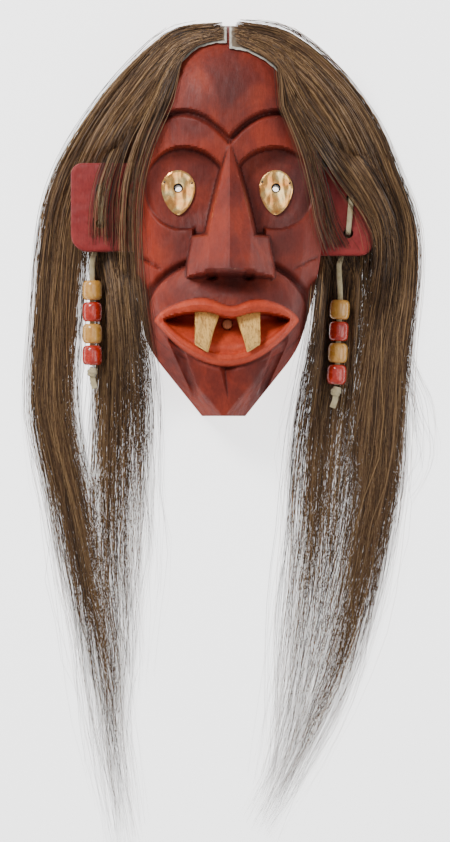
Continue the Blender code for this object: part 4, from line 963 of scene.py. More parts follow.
def raw_hide():
    """Skin side of the hide: dark where the hair stands on it, pale along the knife's cut."""
    nodes = Nodes("raw hide look")
    cloud = nodes.noise((300.0, 300.0, 300.0), 5.0, 0.6)
    skin = nodes.ramp(cloud, (0.3, (0.10, 0.065, 0.04)), (0.7, (0.20, 0.145, 0.095)))
    cut = nodes.ramp(cloud, (0.3, (0.36, 0.33, 0.27)), (0.7, (0.66, 0.63, 0.55)))
    nodes.colour(nodes.mix(nodes.attribute("cut"), skin, cut))
    nodes.set(Roughness=0.85)
    nodes.bump((nodes.noise((1600.0, 1600.0, 1600.0), 4.0, 0.7), 0.0004))
    return nodes.material


def horsehair():
    """Brown hair whose tone differs from strand to strand, darker with painted shade where strands
    lie low in a lock.
    """
    nodes = Nodes("horsehair look")
    tone = nodes.attribute("tone")
    colour = nodes.ramp(
        tone,
        (0.0, (0.026, 0.013, 0.007)),
        (0.30, (0.086, 0.044, 0.022)),
        (0.65, (0.225, 0.120, 0.055)),
        (1.0, (0.480, 0.285, 0.125)),
    )
    streak = nodes.ramp(nodes.noise((420.0, 60.0, 420.0), 4.0, 0.6), (0.3, 0.72), (0.7, 1.0))
    nodes.colour(nodes.mix(0.8, colour, streak, "MULTIPLY"))
    nodes.set(Roughness=0.48, Specular_IOR_Level=0.28)
    nodes.bump((nodes.noise((5000.0, 900.0, 5000.0), 2.0), 0.00003))
    return nodes.material


def add_camera():
    """Straight down on the face, as the photograph looks at it, image up along +Y."""
    data = bpy.data.cameras.new("camera")
    data.sensor_width = 1000.0 * SENSOR_WIDTH
    data.lens = 1000.0 * SENSOR_WIDTH * CAMERA_DISTANCE / (IMAGE_HEIGHT * PHOTO_SCALE)
    data.clip_end = 20.0
    camera = linked("camera", data)
    camera.location = (
        (IMAGE_WIDTH / 2 - ORIGIN_PIXEL[0]) * PHOTO_SCALE,
        (ORIGIN_PIXEL[1] - IMAGE_HEIGHT / 2) * PHOTO_SCALE - RIM_SEAT_UP,
        SHARP_HEIGHT + CAMERA_DISTANCE,
    )
    bpy.context.scene.camera = camera


# Heights in metres of the ear's underside and of the thong where it runs behind the ear.
EAR_UNDERSIDE = EAR_BACK * SCALE[2]
THONG_BEHIND = EAR_UNDERSIDE - TOUCH_GAP - THONG_WIDTH / 2


def bead_heading(side):
    return unit(np.array([-BEAD_LEAN[side], -1.0, 0.0]))


def bead_place(side, number):
    """Middle of a bead, in metres: they follow one another down a straight stretch of thong."""
    first = world((*FIRST_BEAD[side], BEAD_AXIS_HEIGHT))
    return first + bead_heading(side) * BEAD_PITCH * number


def stitch_route(side):
    """The held part of the thong, in metres: through the upper hole, down the ear, and back."""
    upper, lower = (world((x, y, 0.0)) for x, y in STITCH_HOLES[side])
    front = EAR_UNDERSIDE + EAR_THICKNESS + TOUCH_GAP + THONG_THICKNESS / 2
    through = (THONG_BEHIND + front) / 2
    down = unit(lower - upper)
    end = world((*THONG_EXIT[side], 0.0))
    run = unit(end - lower)
    turn = THONG_WIDTH * 0.85
    lift = THONG_WIDTH * 0.4
    stops = (
        (upper, down, -2.4, THONG_BEHIND),
        (upper, down, -1.1, THONG_BEHIND),
        (upper, down, -0.25, THONG_BEHIND + lift),
        (upper, down, 0.0, through),
        (upper, down, 0.25, front - lift),
        (upper, down, 1.1, front),
        ((upper + lower) / 2, down, 0.0, front + 0.0006),
        (lower, down, -1.1, front),
        (lower, down, -0.25, front - lift),
        (lower, down, 0.0, through),
        (lower, run, 0.25, THONG_BEHIND + lift),
        (lower, run, 1.1, THONG_BEHIND),
        ((lower + end) / 2, run, 0.0, THONG_BEHIND),
        (end, run, 0.0, THONG_BEHIND),
    )
    return [place + heading * share * turn + UP * high for place, heading, share, high in stops]


def thong_route(side):
    """The free part of the thong, in metres: from the ear's lower edge through the beads."""
    places = (THONG_EXIT[side], STITCH_HOLES[side][1])
    leaves, lower = (world((*place, 0.0)) + UP * THONG_BEHIND for place in places)
    run = unit(leaves - lower)
    start = leaves + run * TOUCH_GAP
    straight = start + run * THONG_WIDTH
    heading = bead_heading(side)
    beads = [bead_place(side, number) for number in range(BEAD_COUNT)]
    above = beads[0] - heading * BEAD_LENGTH * 0.62
    end = beads[-1] + heading * (BEAD_LENGTH / 2 + TOUCH_GAP)
    return [start, straight, (straight + above) / 2, above, *beads, end]


BEAD_SIDES = 56
BEAD_STATIONS = 29
# How far a bead narrows to its ends, and how unevenly round it was turned.
BEAD_BARREL = 0.26
BEAD_WOBBLE = 0.012


def add_bead(side, number, finish, slot):
    """A barrel bead with softened ends, bored for the thong."""
    half = BEAD_LENGTH / 2
    bore = THONG_WIDTH / 2 + TOUCH_GAP
    share = np.linspace(1.0, -1.0, BEAD_STATIONS)
    outer = BEAD_DIAMETER / 2 * (1.0 - BEAD_BARREL * np.abs(share) ** 5)
    radius = np.concatenate([[bore, bore * 1.25], outer, [bore * 1.25, bore]])
    along = np.concatenate([[half * 0.93, half * 0.97], share * half, [-half * 0.97, -half * 0.93]])
    turns = turns_round(BEAD_SIDES)
    heading = bead_heading(side)
    sideways = np.cross(heading, UP)
    ring = np.cos(turns)[:, None] * sideways + np.sin(turns)[:, None] * UP
    wobble = 1.0 + BEAD_WOBBLE * np.sin(2 * turns + number + 3 * SIDES[side])
    down = bead_place(side, number) + heading * -along[:, None, None]
    points = down + ring * (radius[:, None] * wobble)[..., None]
    quads = closed_quads(len(radius), BEAD_SIDES)
    bead = solid(f"lace_bead_{side}_{number + 1}", points, quads, finish, 50.0)
    dress(bead, f"bead_{side}_{number + 1}")
    return bead


# Windings of the knot, in half turns, and its width along them as a share of the fullest.
KNOT_HALF_TURNS = 5.2
KNOT_WIDTHS = ((0.0, 0.2, 0.8, 1.0), (0.3, 1.0, 1.0, 0.4))


def add_knot(side, leather):
    """The lace wound round itself, with its cut tail hanging out below."""
    heading = bead_heading(side)
    sideways = np.cross(heading, UP)
    last = bead_place(side, BEAD_COUNT - 1)
    top = last + heading * (BEAD_LENGTH / 2 + 2 * TOUCH_GAP)
    turns = np.linspace(0.0, KNOT_HALF_TURNS * math.pi, 64)
    share = turns / turns[-1]
    along = KNOT_LENGTH * (0.20 + 0.58 * share)
    radius = (KNOT_DIAMETER - THONG_THICKNESS) / 2 * np.interp(share, *KNOT_WIDTHS)
    coil = top + heading * along[:, None] + sideways * (radius * np.cos(turns))[:, None]
    coil = coil + UP * (radius * np.sin(turns))[:, None]
    lump = strap(f"knot_wind_{side}", coil, THONG_THICKNESS, THONG_THICKNESS, leather, 10)
    low = top + heading * KNOT_LENGTH * 0.55
    end = top + heading * (KNOT_LENGTH + TAIL_LENGTH)
    swing = np.array([-SIDES[side] * TAIL_SWING, 0.0, 0.0])
    path = smooth_route([low, (low + end) / 2 + swing * 0.2, end + swing], 12)
    tail = strap(f"knot_tail_{side}", path, THONG_WIDTH * 1.1, THONG_THICKNESS * 0.8, leather)
    combine(lump, tail, "UNION")
    bake(lump)
    discard(tail)
    lump.name = f"lace_knot_{side}"
    dress(lump, f"knot_{side}")
    return lump


def add_thong(side, leather, tan, red):
    looks = ((tan, "tan_bead"), (red, "red_bead"))
    beads = [add_bead(side, number, *looks[number % 2]) for number in range(BEAD_COUNT)]
    knot = add_knot(side, leather)
    path = smooth_route(thong_route(side), 48)
    lace = strap(f"lace_{side}", path, THONG_WIDTH, THONG_THICKNESS, leather)
    dress(lace, f"thong_{side}")
    held = smooth_route(stitch_route(side), 56)
    stitch = strap(f"lace_stitch_{side}", held, THONG_WIDTH * 0.96, THONG_THICKNESS, leather)
    dress(stitch, f"thong_stitch_{side}")


# The carved front as a fine mesh: its lines across and up the face, and those of its hollow.
FACE_COLUMNS = 208
FACE_ROWS = 292
HOLLOW_COLUMNS = 56
HOLLOW_ROWS = 84
WALL_STEPS = 7
# The gouge's scoops in the hollow: their size across and up, and their depth, in drawn units.
SCOOP_SIZE = (9.0, 13.0)
SCOOP_DEPTH = 0.9
# Bores through the wood and the plates, in metres, and the sides of their cutters.
EYE_BORE = 0.0046
PLATE_BORE = 0.0066
THONG_HOLE = 0.0072
PIN_SIDES = 32
# The ears, in metres: their worn edges, their mesh, and how far they reach into the face.
EAR_EDGE_ROUNDING = 0.0016
EAR_MESH = 0.0012
EAR_ROOT = 0.006
EAR_CORNER_STEPS = 12
# Unevenness of the ear's front: depth, size of the bumps, and the seed of each.
EAR_BUMPS = ((0.00022, 0.012, 5), (0.00010, 0.0035, 6))


def sculpted(name, columns, rows, bottom, top, half, height, floor, material):
    """A closed body on a flat floor: a grid shaped to a plan and a height, in drawn units.

    Its lines crowd a little towards the outline, where the surface turns down.
    """
    across = np.linspace(-1.0, 1.0, columns)
    up = np.linspace(-1.0, 1.0, rows)
    across = 0.45 * across + 0.55 * np.sin(across * math.pi / 2)
    up = 0.55 * up + 0.45 * np.sin(up * math.pi / 2)
    y = (bottom + (top - bottom) * (up + 1.0) / 2)[:, None] + np.zeros(columns)
    x = centre_line(y) + across[None] * half(y)
    front = np.stack([x, y, height(x, y)], axis=-1).reshape(-1, 3)
    quads, loop = grid(rows, columns)
    rim_x, rim_y, rim_z = front[loop].T
    walls, levels = [], [loop]
    for step, share in enumerate(np.linspace(1.0, 0.0, WALL_STEPS)[1:]):
        walls.append(np.stack([rim_x, rim_y, floor + (rim_z - floor) * share], axis=1))
        levels.append(len(front) + step * len(loop) + np.arange(len(loop)))
    sides = [
        np.stack([above, below, np.roll(below, -1), np.roll(above, -1)], axis=-1)
        for above, below in zip(levels, levels[1:])
    ]
    points = world(np.concatenate([front, *walls]))
    faces = [quads, np.concatenate(sides), levels[-1][None]]
    return solid(name, points, faces, material)


def ear_outline(side):
    """The ear's plan in metres: two rounded outer corners, and a root inside the face's side."""
    sign = SIDES[side]
    out = abs(EAR_OUT[side]) * SCALE[0]
    low = world((0.0, EAR_BOTTOM[side], 0.0))[1]
    high = world((0.0, EAR_BOTTOM[side] + EAR_TALL, 0.0))[1]
    root = FACE_WIDTH / 2 - EAR_ROOT
    points = [(root, low)]
    upper, lower = (radius * SCALE[0] for radius in EAR_CORNERS[side])
    for radius, middle, start in ((lower, low + lower, -90.0), (upper, high - upper, 0.0)):
        for step in range(EAR_CORNER_STEPS + 1):
            turn = math.radians(start + 90.0 / EAR_CORNER_STEPS * step)
            across = out - radius + radius * math.cos(turn)
            points.append((across, middle + radius * math.sin(turn)))
    points.append((root, high))
    return [(sign * x, y) for x, y in points][:: int(sign)]


def ear_body(side, material):
    """One ear: its outline filled with a fine grid, softly rounded over its edges."""
    bm = bmesh.new()
    verts = [bm.verts.new((x, y, EAR_UNDERSIDE)) for x, y in ear_outline(side)]
    bm.faces.new(verts)
    lifted = bmesh.ops.extrude_face_region(bm, geom=bm.faces[:])["geom"]
    top = [item for item in lifted if isinstance(item, bmesh.types.BMVert)]
    bmesh.ops.translate(bm, verts=top, vec=(0.0, 0.0, EAR_THICKNESS))
    ear = from_bmesh(f"ear_{side}", bm, material)
    outward(ear)
    rounding = ear.modifiers.new("worn edges", "BEVEL")
    rounding.width = EAR_EDGE_ROUNDING
    rounding.segments = 4
    rounding.limit_method = "ANGLE"
    rounding.angle_limit = math.radians(50.0)
    finer = ear.modifiers.new("fine", "REMESH")
    finer.mode = "VOXEL"
    finer.voxel_size = EAR_MESH
    bake(ear)
    points = points_of(ear)
    inward = sum(depth * wrinkled(points, size, seed) for depth, size, seed in EAR_BUMPS)
    points[:, 2] += inward * (points[:, 2] > (EAR_UNDERSIDE + EAR_THICKNESS / 2))
    points[:, 2] = np.maximum(points[:, 2], EAR_UNDERSIDE)
    ear.data.vertices.foreach_set("co", points.astype(np.float32).ravel())
    return ear


def pin(name, diameter, low, high, x, y):
    """A round cutter along Z, in metres."""
    bm = bmesh.new()
    size = {"radius1": diameter / 2, "radius2": diameter / 2, "depth": high - low}
    bmesh.ops.create_cone(bm, cap_ends=True, segments=PIN_SIDES, **size)
    bmesh.ops.translate(bm, verts=bm.verts, vec=(x, y, (high + low) / 2))
    return from_bmesh(name, bm)


# Spots of dark tint, partly real staining and partly painted shadow under the nose, and of painted
# highlight: how strong, and their middle and reach, across and up.
STAIN_AND_SHADE_SPOTS = (
    (0.80, 4.0, 226.0, 15.0, 30.0),
    (0.35, -22.0, 214.0, 12.0, 10.0),
    (0.80, 2.0, 91.0, 20.0, 8.0),
    (0.45, 4.0, 84.0, 46.0, 9.0),
    (0.65, -31.0, 122.0, 13.0, 17.0),
    (0.65, 36.0, 122.0, 13.0, 18.0),
    (0.75, 22.0, 28.0, 8.0, 16.0),
    (0.45, -30.0, 30.0, 10.0, 14.0),
    (0.50, 0.0, 101.0, 27.0, 5.0),
)
PAINTED_HIGHLIGHT_SPOTS = (
    (0.75, -57.0, 122.0, 9.0, 44.0),
    (0.55, 58.0, 118.0, 8.0, 34.0),
    (0.45, 22.0, 200.0, 9.0, 9.0),
    (0.35, -22.0, 184.0, 16.0, 7.0),
    (0.35, 30.0, 188.0, 16.0, 7.0),
)
# The bend of the surface is told from its height this far to each side.
BEND_STEP = 1.1


def spotted(x, y, spots):
    total = np.zeros(len(x))
    for strength, at_x, at_y, wide, tall in spots:
        total += strength * np.exp(-(((x - at_x) / wide) ** 2) - ((y - at_y) / tall) ** 2)
    return total


def finish_of(points):
    """Where each tint lies on the face, worked out from the carving itself: real staining and
    painted shade in the dark tint, and painted highlights.
    """
    x, y, z = ((points + ORIGIN) / SCALE).T
    on_y = np.clip(y, 0.5, DRAWN[1] - 0.5)
    past_side = np.abs(x - centre_line(on_y)) - half_width(on_y)
    here = carving(x, on_y)
    ways = ((BEND_STEP, 0.0), (-BEND_STEP, 0.0), (0.0, BEND_STEP), (0.0, -BEND_STEP))
    bent = here - sum(carving(x + across, on_y + up) for across, up in ways) / 4
    front = ease(6.0, 2.5, here - z) * ease(1.0, -2.0, past_side)
    plain = dome(x, on_y)
    rise, crease = muzzle(x, on_y)
    _, outside = carve_mouth(x, on_y, plain, plain + rise)
    lip = ease(0.9, -0.9, outside) * front
    on_nose = ease(0.5, 1.5, nose(x, on_y) - plain)
    # Darker in the eye sockets, heavier on the right: partly real staining, partly painted shade in
    # the recesses.
    stain_and_shade = ease(1.05, 0.9, socket_ring(x, y)) * (1.0 - on_nose)
    stain_and_shade = stain_and_shade * (0.22 + 0.45 * ease(18.0, 44.0, x) + 0.30 * ease(-40.0, -56.0, x))
    stain_and_shade = stain_and_shade + spotted(x, y, STAIN_AND_SHADE_SPOTS)
    # Painted shade: darker over the right side of the face and the right of the forehead, which
    # face away from the light.
    stain_and_shade = stain_and_shade + 0.45 * ease(26.0, 62.0, x) + 0.35 * ease(18.0, 34.0, x) * ease(196.0, 214.0, y)
    # Painted shade in the brow groove.
    stain_and_shade = stain_and_shade + 0.8 * np.clip(-brow_step(x, on_y) / GROOVE_DROP - 0.35, 0.0, 1.0)
    # Painted shade in the hollows of the carving and in the smile creases.
    stain_and_shade = stain_and_shade + 0.75 * np.clip(-bent / 0.45, 0.0, 1.0) - 0.5 * crease / CREASE_DEPTH
    stain_and_shade = np.clip(stain_and_shade, 0.0, 0.92) * (1.0 - 0.85 * lip) * front
    # Painted highlights: the lit patches, and the left side of the nose, which faces the light.
    painted_highlight = spotted(x, y, PAINTED_HIGHLIGHT_SPOTS) + 0.35 * on_nose * ease(2.0, -2.0, x)
    inside = np.abs(x - centre_line(on_y)) - np.maximum(hollow_half_width(on_y), 1.0)
    hollowed = ease(1.5, 0.4, z - hollow(np.clip(x, -70, 70), on_y)) * ease(1.2, 0.2, inside)
    on_rim = ease(0.9, 0.2, z) * ease(3.0, 1.0, past_side)
    # Painted shade round the eye bores, by the distance to the nearer eye.
    painted_bore_shade = np.minimum.reduce([np.hypot(x - at_x, y - at_y) for at_x, at_y in EYES.values()])
    return {
        "lip": lip,
        "stain_and_shade": stain_and_shade,
        # Painted shade deep in the mouth.
        "deep": ease(-5.0, -12.0, z - plain) * lip,
        "painted_bore_shade": ease(4.6, 3.9, painted_bore_shade),
        "painted_highlight": np.clip(painted_highlight, 0.0, 1.0) * front,
        # Carved edges: partly real wear, partly a painted highlight.
        "worn": np.clip(bent / 0.30 - 0.25, 0.0, 1.0) * front,
        "crimson": ease(-1.5, 1.5, past_side),
        "raw": np.maximum(np.nan_to_num(hollowed), on_rim),
    }


def add_face(wood, cutters):
    """The carved wood in one piece: front, sides, ears, hollow and holes."""
    rim = drawn(RIM_WIDTH, 1)
    face = sculpted(
        "carved_mask", FACE_COLUMNS, FACE_ROWS, 0.0, DRAWN[1], half_width, carving, 0.0, wood
    )
    back = sculpted(
        "hollow", HOLLOW_COLUMNS, HOLLOW_ROWS, rim, DRAWN[1] - rim, hollow_half_width,
        adzed_hollow, UNDER_RIM, wood,
    )
    helpers = [back, *cutters]
    for side in SIDES:
        ear = ear_body(side, wood)
        combine(face, ear, "UNION")
        helpers.append(ear)
    combine(face, back, "DIFFERENCE")
    for side in SIDES:
        eye_x, eye_y, _ = world((*EYES[side], 0.0))
        helpers.append(pin(f"eye_bore_{side}", EYE_BORE, 0.02, FACE_DEPTH, eye_x, eye_y))
        combine(face, helpers[-1], "DIFFERENCE")
        for number, hole in enumerate(STITCH_HOLES[side]):
            x, y, _ = world((*hole, 0.0))
            name = f"thong_hole_{side}_{number}"
            helpers.append(pin(name, THONG_HOLE, 0.0, FACE_DEPTH / 2, x, y))
            combine(face, helpers[-1], "DIFFERENCE")
    for cutter in cutters:
        combine(face, cutter, "DIFFERENCE")
    bake(face)
    discard(*helpers)
    sharpen(face, 42.0)
    for name, values in finish_of(points_of(face)).items():
        paint(face, name, values)
    dress(face, "mask")


def adzed_hollow(x, y):
    """The hollow with the shallow scoops that a gouge leaves."""
    across, up = x / SCOOP_SIZE[0], y / SCOOP_SIZE[1]
    scoop = np.abs(np.sin(across * math.pi + np.floor(up) * 1.7))
    scoop = scoop * np.abs(np.sin(up * math.pi)) ** 0.5
    return hollow(x, y) - SCOOP_DEPTH * scoop * np.clip(hollow(x, y) / 12.0, 0.0, 1.0)


# The eye plates and their tacks, in metres.
PLATE_WIDTH = 0.0236
PLATE_ABOVE_EYE = 0.0125
PLATE_BELOW_EYE = 0.0189
PLATE_THICKNESS = 0.0009
PLATE_BOW = 0.0007
TACK_HEAD = 0.0024
# The sheet's outline as a share of its full one, and its underside over the wood's clearance.
PLATE_TRIM = 0.99
PLATE_UNDERSIDE = 0.00005
PLATE_SIDES = 96
PLATE_STATIONS = 18
# The sheet's rise round its bore, its fall at the edge, and the dents at the tacks.
PLATE_RISE = 0.00028
PLATE_FALL = 0.0002
DENT_DEPTH = 0.00022
DENT_REACH = 0.0017
# A tack head's height above and below its seat, as shares of a ball's.
TACK_DOME = 0.62
TACK_FOOT = 0.25


def egg(turns):
    """The eye plate's outline round its bore: half an ellipse above, a longer point below."""
    across, up = np.cos(turns), np.sin(turns)
    narrow = (1.0 - np.clip(-up, 0.0, 1.0) ** 1.7) ** 0.62
    wide = np.where(up >= 0.0, across, np.sign(across) * narrow) * PLATE_WIDTH / 2
    tall = up * np.where(up >= 0.0, PLATE_ABOVE_EYE, PLATE_BELOW_EYE)
    return np.stack([wide, tall], axis=-1)


def copper_plate(side, at, copper):
    """A hand-cut copper sheet, hollowed a little round the bore and dented at its three tacks."""
    turns = turns_round(PLATE_SIDES) + math.pi / PLATE_SIDES
    levels = np.linspace(0.0, 1.0, PLATE_STATIONS)[:, None, None]
    bore = PLATE_BORE / 2 * np.stack([np.cos(turns), np.sin(turns)], axis=-1)
    plan = bore + (egg(turns) * PLATE_TRIM - bore) * levels
    out = np.linalg.norm(plan, axis=-1)
    top = np.full(out.shape, PLATE_THICKNESS * 0.72)
    top = top + PLATE_RISE * ease(0.0035, 0.0095, out)
    top = top - PLATE_FALL * ease(0.86, 1.0, levels[..., 0])
    top = top + PLATE_BOW * (1.0 - (plan[..., 0] / (PLATE_WIDTH / 2)) ** 2)
    top = top + 0.4 * PLATE_BOW * (1.0 - (plan[..., 1] / PLATE_BELOW_EYE) ** 2)
    for across, up in TACKS_ROUND_EYE:
        near = np.hypot(plan[..., 0] - across * SCALE[0], plan[..., 1] - up * SCALE[1])
        top = top - DENT_DEPTH * np.exp(-((near / DENT_REACH) ** 2))
    upper = np.concatenate([plan, top[..., None]], axis=-1)
    lower = np.concatenate([plan, np.full((*out.shape, 1), PLATE_UNDERSIDE)], axis=-1)
    shell = np.concatenate([upper, lower[::-1]]) + at
    quads = closed_quads(*shell.shape[:2])
    plate = solid(f"eye_copper_{side}", shell, quads, copper, 50.0)
    dress(plate, f"eye_plate_{side}")


def add_eye(side, copper, steel):
    """The copper plate round one eye and its three tacks."""
    eye_x, eye_y = EYES[side]
    at = world((eye_x, eye_y, carving(np.array([eye_x]), np.array([eye_y]))[0]))
    at[2] += CARVING_GAP
    copper_plate(side, at, copper)
    for number, (across, up) in enumerate(TACKS_ROUND_EYE, 1):
        bm = bmesh.new()
        bmesh.ops.create_uvsphere(bm, u_segments=20, v_segments=12, radius=TACK_HEAD / 2)
        for vert in bm.verts:
            vert.co.z *= TACK_DOME if vert.co.z > 0.0 else TACK_FOOT
        place = at + (across * SCALE[0], up * SCALE[1], PLATE_THICKNESS * 0.8)
        bmesh.ops.translate(bm, verts=bm.verts, vec=place)
        tack = from_bmesh(f"tack_{side}_{number}", bm, steel)
        sharpen(tack)
        dress(tack, f"eye_tack_{side}_{number}")


# The pegs and the stub, in metres: the pegs lean out of the mouth and splay from each other.
TOOTH_LENGTH = 0.030
TOOTH_ROOT_WIDTH = 0.0185
TOOTH_TIP_WIDTH = 0.0102
TOOTH_THICKNESS = 0.0064
TOOTH_SLANT = 0.0021
TOOTH_BACK = 0.0105
TOOTH_TILT = math.radians(22.0)
TOOTH_SPLAY = math.radians(9.0)
STUB_DIAMETER = 0.0074
STUB_LENGTH = 0.012
STUB_OUT = 0.006
STUB_SIDES = 40
STUB_STATIONS = 16
PEG_SIDES = 64
PEG_STATIONS = 44
PEG_SQUARENESS = 0.3
FIBRE_DEPTH = 0.00055
TORN_DEPTH = 0.0009


def peg(name, sign, grow, material):
    """A split peg along its own -Y: fibre ridges down its length and a torn, slanting tip."""
    across, high = squarish(turns_round(PEG_SIDES), PEG_SQUARENESS)
    share = np.linspace(0.0, 1.0, PEG_STATIONS)[:, None]
    width = TOOTH_ROOT_WIDTH + (TOOTH_TIP_WIDTH - TOOTH_ROOT_WIDTH) * share + 2 * grow
    depth = TOOTH_THICKNESS * (1.0 - 0.2 * share) + 2 * grow
    ridge = np.random.default_rng(31 if sign > 0 else 32).random(PEG_SIDES)
    ridge = np.convolve(np.tile(ridge, 3), [0.25, 0.5, 0.25], "same")[PEG_SIDES : 2 * PEG_SIDES]
    rough = 0.0 if grow else 1.0
    fibre = rough * FIBRE_DEPTH * (ridge + 0.35 * np.sin(7 * share + 9 * ridge))
    x = across * (width / 2 - fibre)
    z = high * (depth / 2 - fibre)
    end = TOOTH_LENGTH / 2 + grow
    y = end - 2 * end * share + np.zeros(PEG_SIDES)
    y = y + share**8 * (TOOTH_SLANT * sign * across - rough * TORN_DEPTH * ridge + 0.0004)
    points = np.stack([x, y, z], axis=-1)
    return solid(name, points, rings(PEG_STATIONS, PEG_SIDES), material, 38.0)


def add_pegs(pale):
    """Both pegs. The cutters of their sockets are returned for the face."""
    cutters = []
    for side, (x, y) in TEETH.items():
        at = world((x, y, TOOTH_FRONT)) - UP * TOOTH_BACK
        turned = Euler((-TOOTH_TILT, 0.0, TOOTH_SPLAY * SIDES[side])).to_matrix().to_4x4()
        tooth = peg(f"peg_tooth_{side}", SIDES[side], 0.0, pale)
        cutters.append(peg(f"socket_{side}", SIDES[side], TOUCH_GAP, pale))
        for piece in (tooth, cutters[-1]):
            piece.data.transform(Matrix.Translation(at) @ turned)
        dress(tooth, f"tooth_{side}")
    return cutters


def add_stub(dark):
    """The worn stub between the pegs. The cutter of its socket is returned for the face."""
    floor = carving(np.array([STUB[0]]), np.array([STUB[1]]))[0]
    at = world((STUB[0], STUB[1], floor))
    high = at[2] + STUB_OUT
    turns = turns_round(STUB_SIDES)
    shaft = np.linspace(high - STUB_LENGTH, high - 0.0012, STUB_STATIONS)
    heights = np.concatenate([shaft, [high - 0.0004, high]])
    radius = np.concatenate([np.full(STUB_STATIONS, 1.0), [0.93, 0.72]]) * STUB_DIAMETER / 2
    wear = 1.0 - 0.05 * np.abs(np.sin(5 * turns + 1.0)) - 0.03 * np.abs(np.sin(11 * turns))
    ring = np.stack([np.cos(turns), np.sin(turns)], axis=-1) * wear[:, None]
    plan = ring * radius[:, None, None] + (at[0], at[1])
    up = np.repeat(heights[:, None, None], STUB_SIDES, axis=1)
    points = np.concatenate([plan, up], axis=-1)
    stub = solid("stub_tooth", points, rings(len(heights), STUB_SIDES), dark, 45.0)
    dress(stub, "tooth_middle")
    width = STUB_DIAMETER + 2 * TOUCH_GAP
    bottom = high - STUB_LENGTH - TOUCH_GAP
    return pin("stub_socket", width, bottom, high + STUB_LENGTH, at[0], at[1])


# The gap between the two strips of hide, and the pale band along a cut edge, in metres.
PARTING = 0.002
CUT_EDGE = 0.0015
HIDE_COLUMNS = 90
HIDE_ROWS = 44


def add_hide(side, leather):
    """A strip of hide bent over the top of the forehead, pale along its knife-cut edges."""
    sign = SIDES[side]
    along = np.linspace(0.0, 1.0, HIDE_COLUMNS)
    share = np.sin(np.linspace(0.0, math.pi / 2, HIDE_ROWS))[:, None]
    start = drawn(PARTING, 0) / 2
    wobble = 0.25 * np.sin(along * 21.0 + 2.0 * sign) + 0.15 * np.sin(along * 47.0)
    low_x = start + (HIDE_END - start) * along
    low_y = hide_lower_edge(side, low_x) + wobble * np.clip(along * 8.0, 0.0, 1.0)
    high_x = low_x * 1.08
    high_y = top_edge(high_x) - HIDE_SET_IN
    x = sign * (low_x + (high_x - low_x) * share)
    y = low_y + (high_y - low_y) * share
    base = above_dome(x, y, drawn(CARVING_GAP))
    from_edge = np.minimum(y - low_y, np.abs(x) - start + 0.15 * np.sin(y))
    sag = 0.35 * ease(1.2, 0.0, from_edge)
    top = base + drawn(HIDE_THICKNESS) - sag
    upper = np.stack([x, y, top], axis=-1).reshape(-1, 3)
    lower = np.stack([x, y, base], axis=-1).reshape(-1, 3)
    quads, loop = grid(HIDE_ROWS, HIDE_COLUMNS)
    after = np.roll(loop, -1)
    wall = np.stack([loop, after, after + len(upper), loop + len(upper)], axis=-1)
    points = world(np.concatenate([upper, lower]))
    faces = [quads, quads[:, ::-1] + len(upper), wall]
    hide = solid(f"hide_strip_{side}", points, faces, leather, 50.0)
    cut = ease(drawn(CUT_EDGE) * 1.15, drawn(CUT_EDGE) * 0.8, from_edge).ravel()
    paint(hide, "cut", np.concatenate([cut, np.ones(len(cut))]))
    dress(hide, f"hide_{side}")


# Hair: the strands of each lock, their points along the lock and how thick they are.
STRANDS = {
    "left": (1250, 1000, 1080, 85, 45, 120, 950),
    "right": (1250, 1120, 620, 210, 850, 850, 110, 110),
}
# Loose strands between the locks that close what shows behind the right ear.
LOOSE_STRANDS = {
    "left": (),
    "right": (
        (520, (False, 12, ((7, 262), (36, 248), (58, 216), (78, 187), (90, 158), (97, 128),
                           (99, 92), (97, 42), (89, -20), (79, -80), (66, -145)))),
    ),
}
STATIONS_NEAR = 17
STATIONS_FAR = 13
NEAR_SHARE = 0.40
LOCK_STEPS = 260
STRAND_WIDTH = 0.00031
STRAND_ROLL = 0.9
MOST_STRANDS_IN_A_PIECE = 3300
# The stretch of a lock that its strands are rooted in, on the hide or below it.
ROOTS_ON_HIDE = 0.09
ROOTS_BELOW = 0.02
# Where strands end down a lock's length, by their share: most stop long before the tips.
STRAND_ENDS = (
    (0.0, 0.05, 0.12, 0.22, 0.38, 0.62, 0.94, 1.0),
    (1.0, 0.97, 0.88, 0.76, 0.65, 0.55, 0.42, 0.32),
)
# The outer lock's strands stop short of its tip by this share of what the others do.
LEADING_LOCK_ENDS = 0.72
# How wide a lock's strands spread and how thick they lie, down its length.
LOCK_SPREAD = ((0.0, 0.06, 0.3, 0.6, 0.85, 1.0), (0.55, 1.05, 1.0, 1.2, 1.0, 0.5))
LOCK_FULLNESS = ((0.0, 0.05, 0.25, 0.5, 1.0), (0.6, 1.8, 4.6, 3.6, 1.5))
STRAY_SHARE = 0.08
CLUMP_EVERY = 3
# Drifts of a whole clump: how far, from and up to where it grows, and its waves.
CLUMP_DRIFTS = ((4.0, 0.30, 0.95, 8.0), (1.8, 0.25, 0.80, 21.0))
# How far a strand crosses its neighbours, and its own waves: their length and their reach.
CROSSING = 2.6
STRAND_WAVES = ((170.0, 0.9), (62.0, 0.32))
# How thick a strand is along it, as a share of its fullest.
STRAND_TAPER = ((0.0, 0.06, 0.45, 0.8, 1.0), (0.75, 1.0, 0.95, 0.6, 0.2))
# The stretch of each hide strip, out from the parting, whose lower edge shows below the hair.
HIDE_SHOWN = {"left": (0.0, 34.0), "right": (0.0, 38.0)}
# Heights on the drawing above which locks start on the hide, and above which their strands
# are held over its lower edge, and off the parting.
ROOTS_FROM_Y = 200
EDGE_FROM_Y = 215
PARTING_FROM_Y = 225


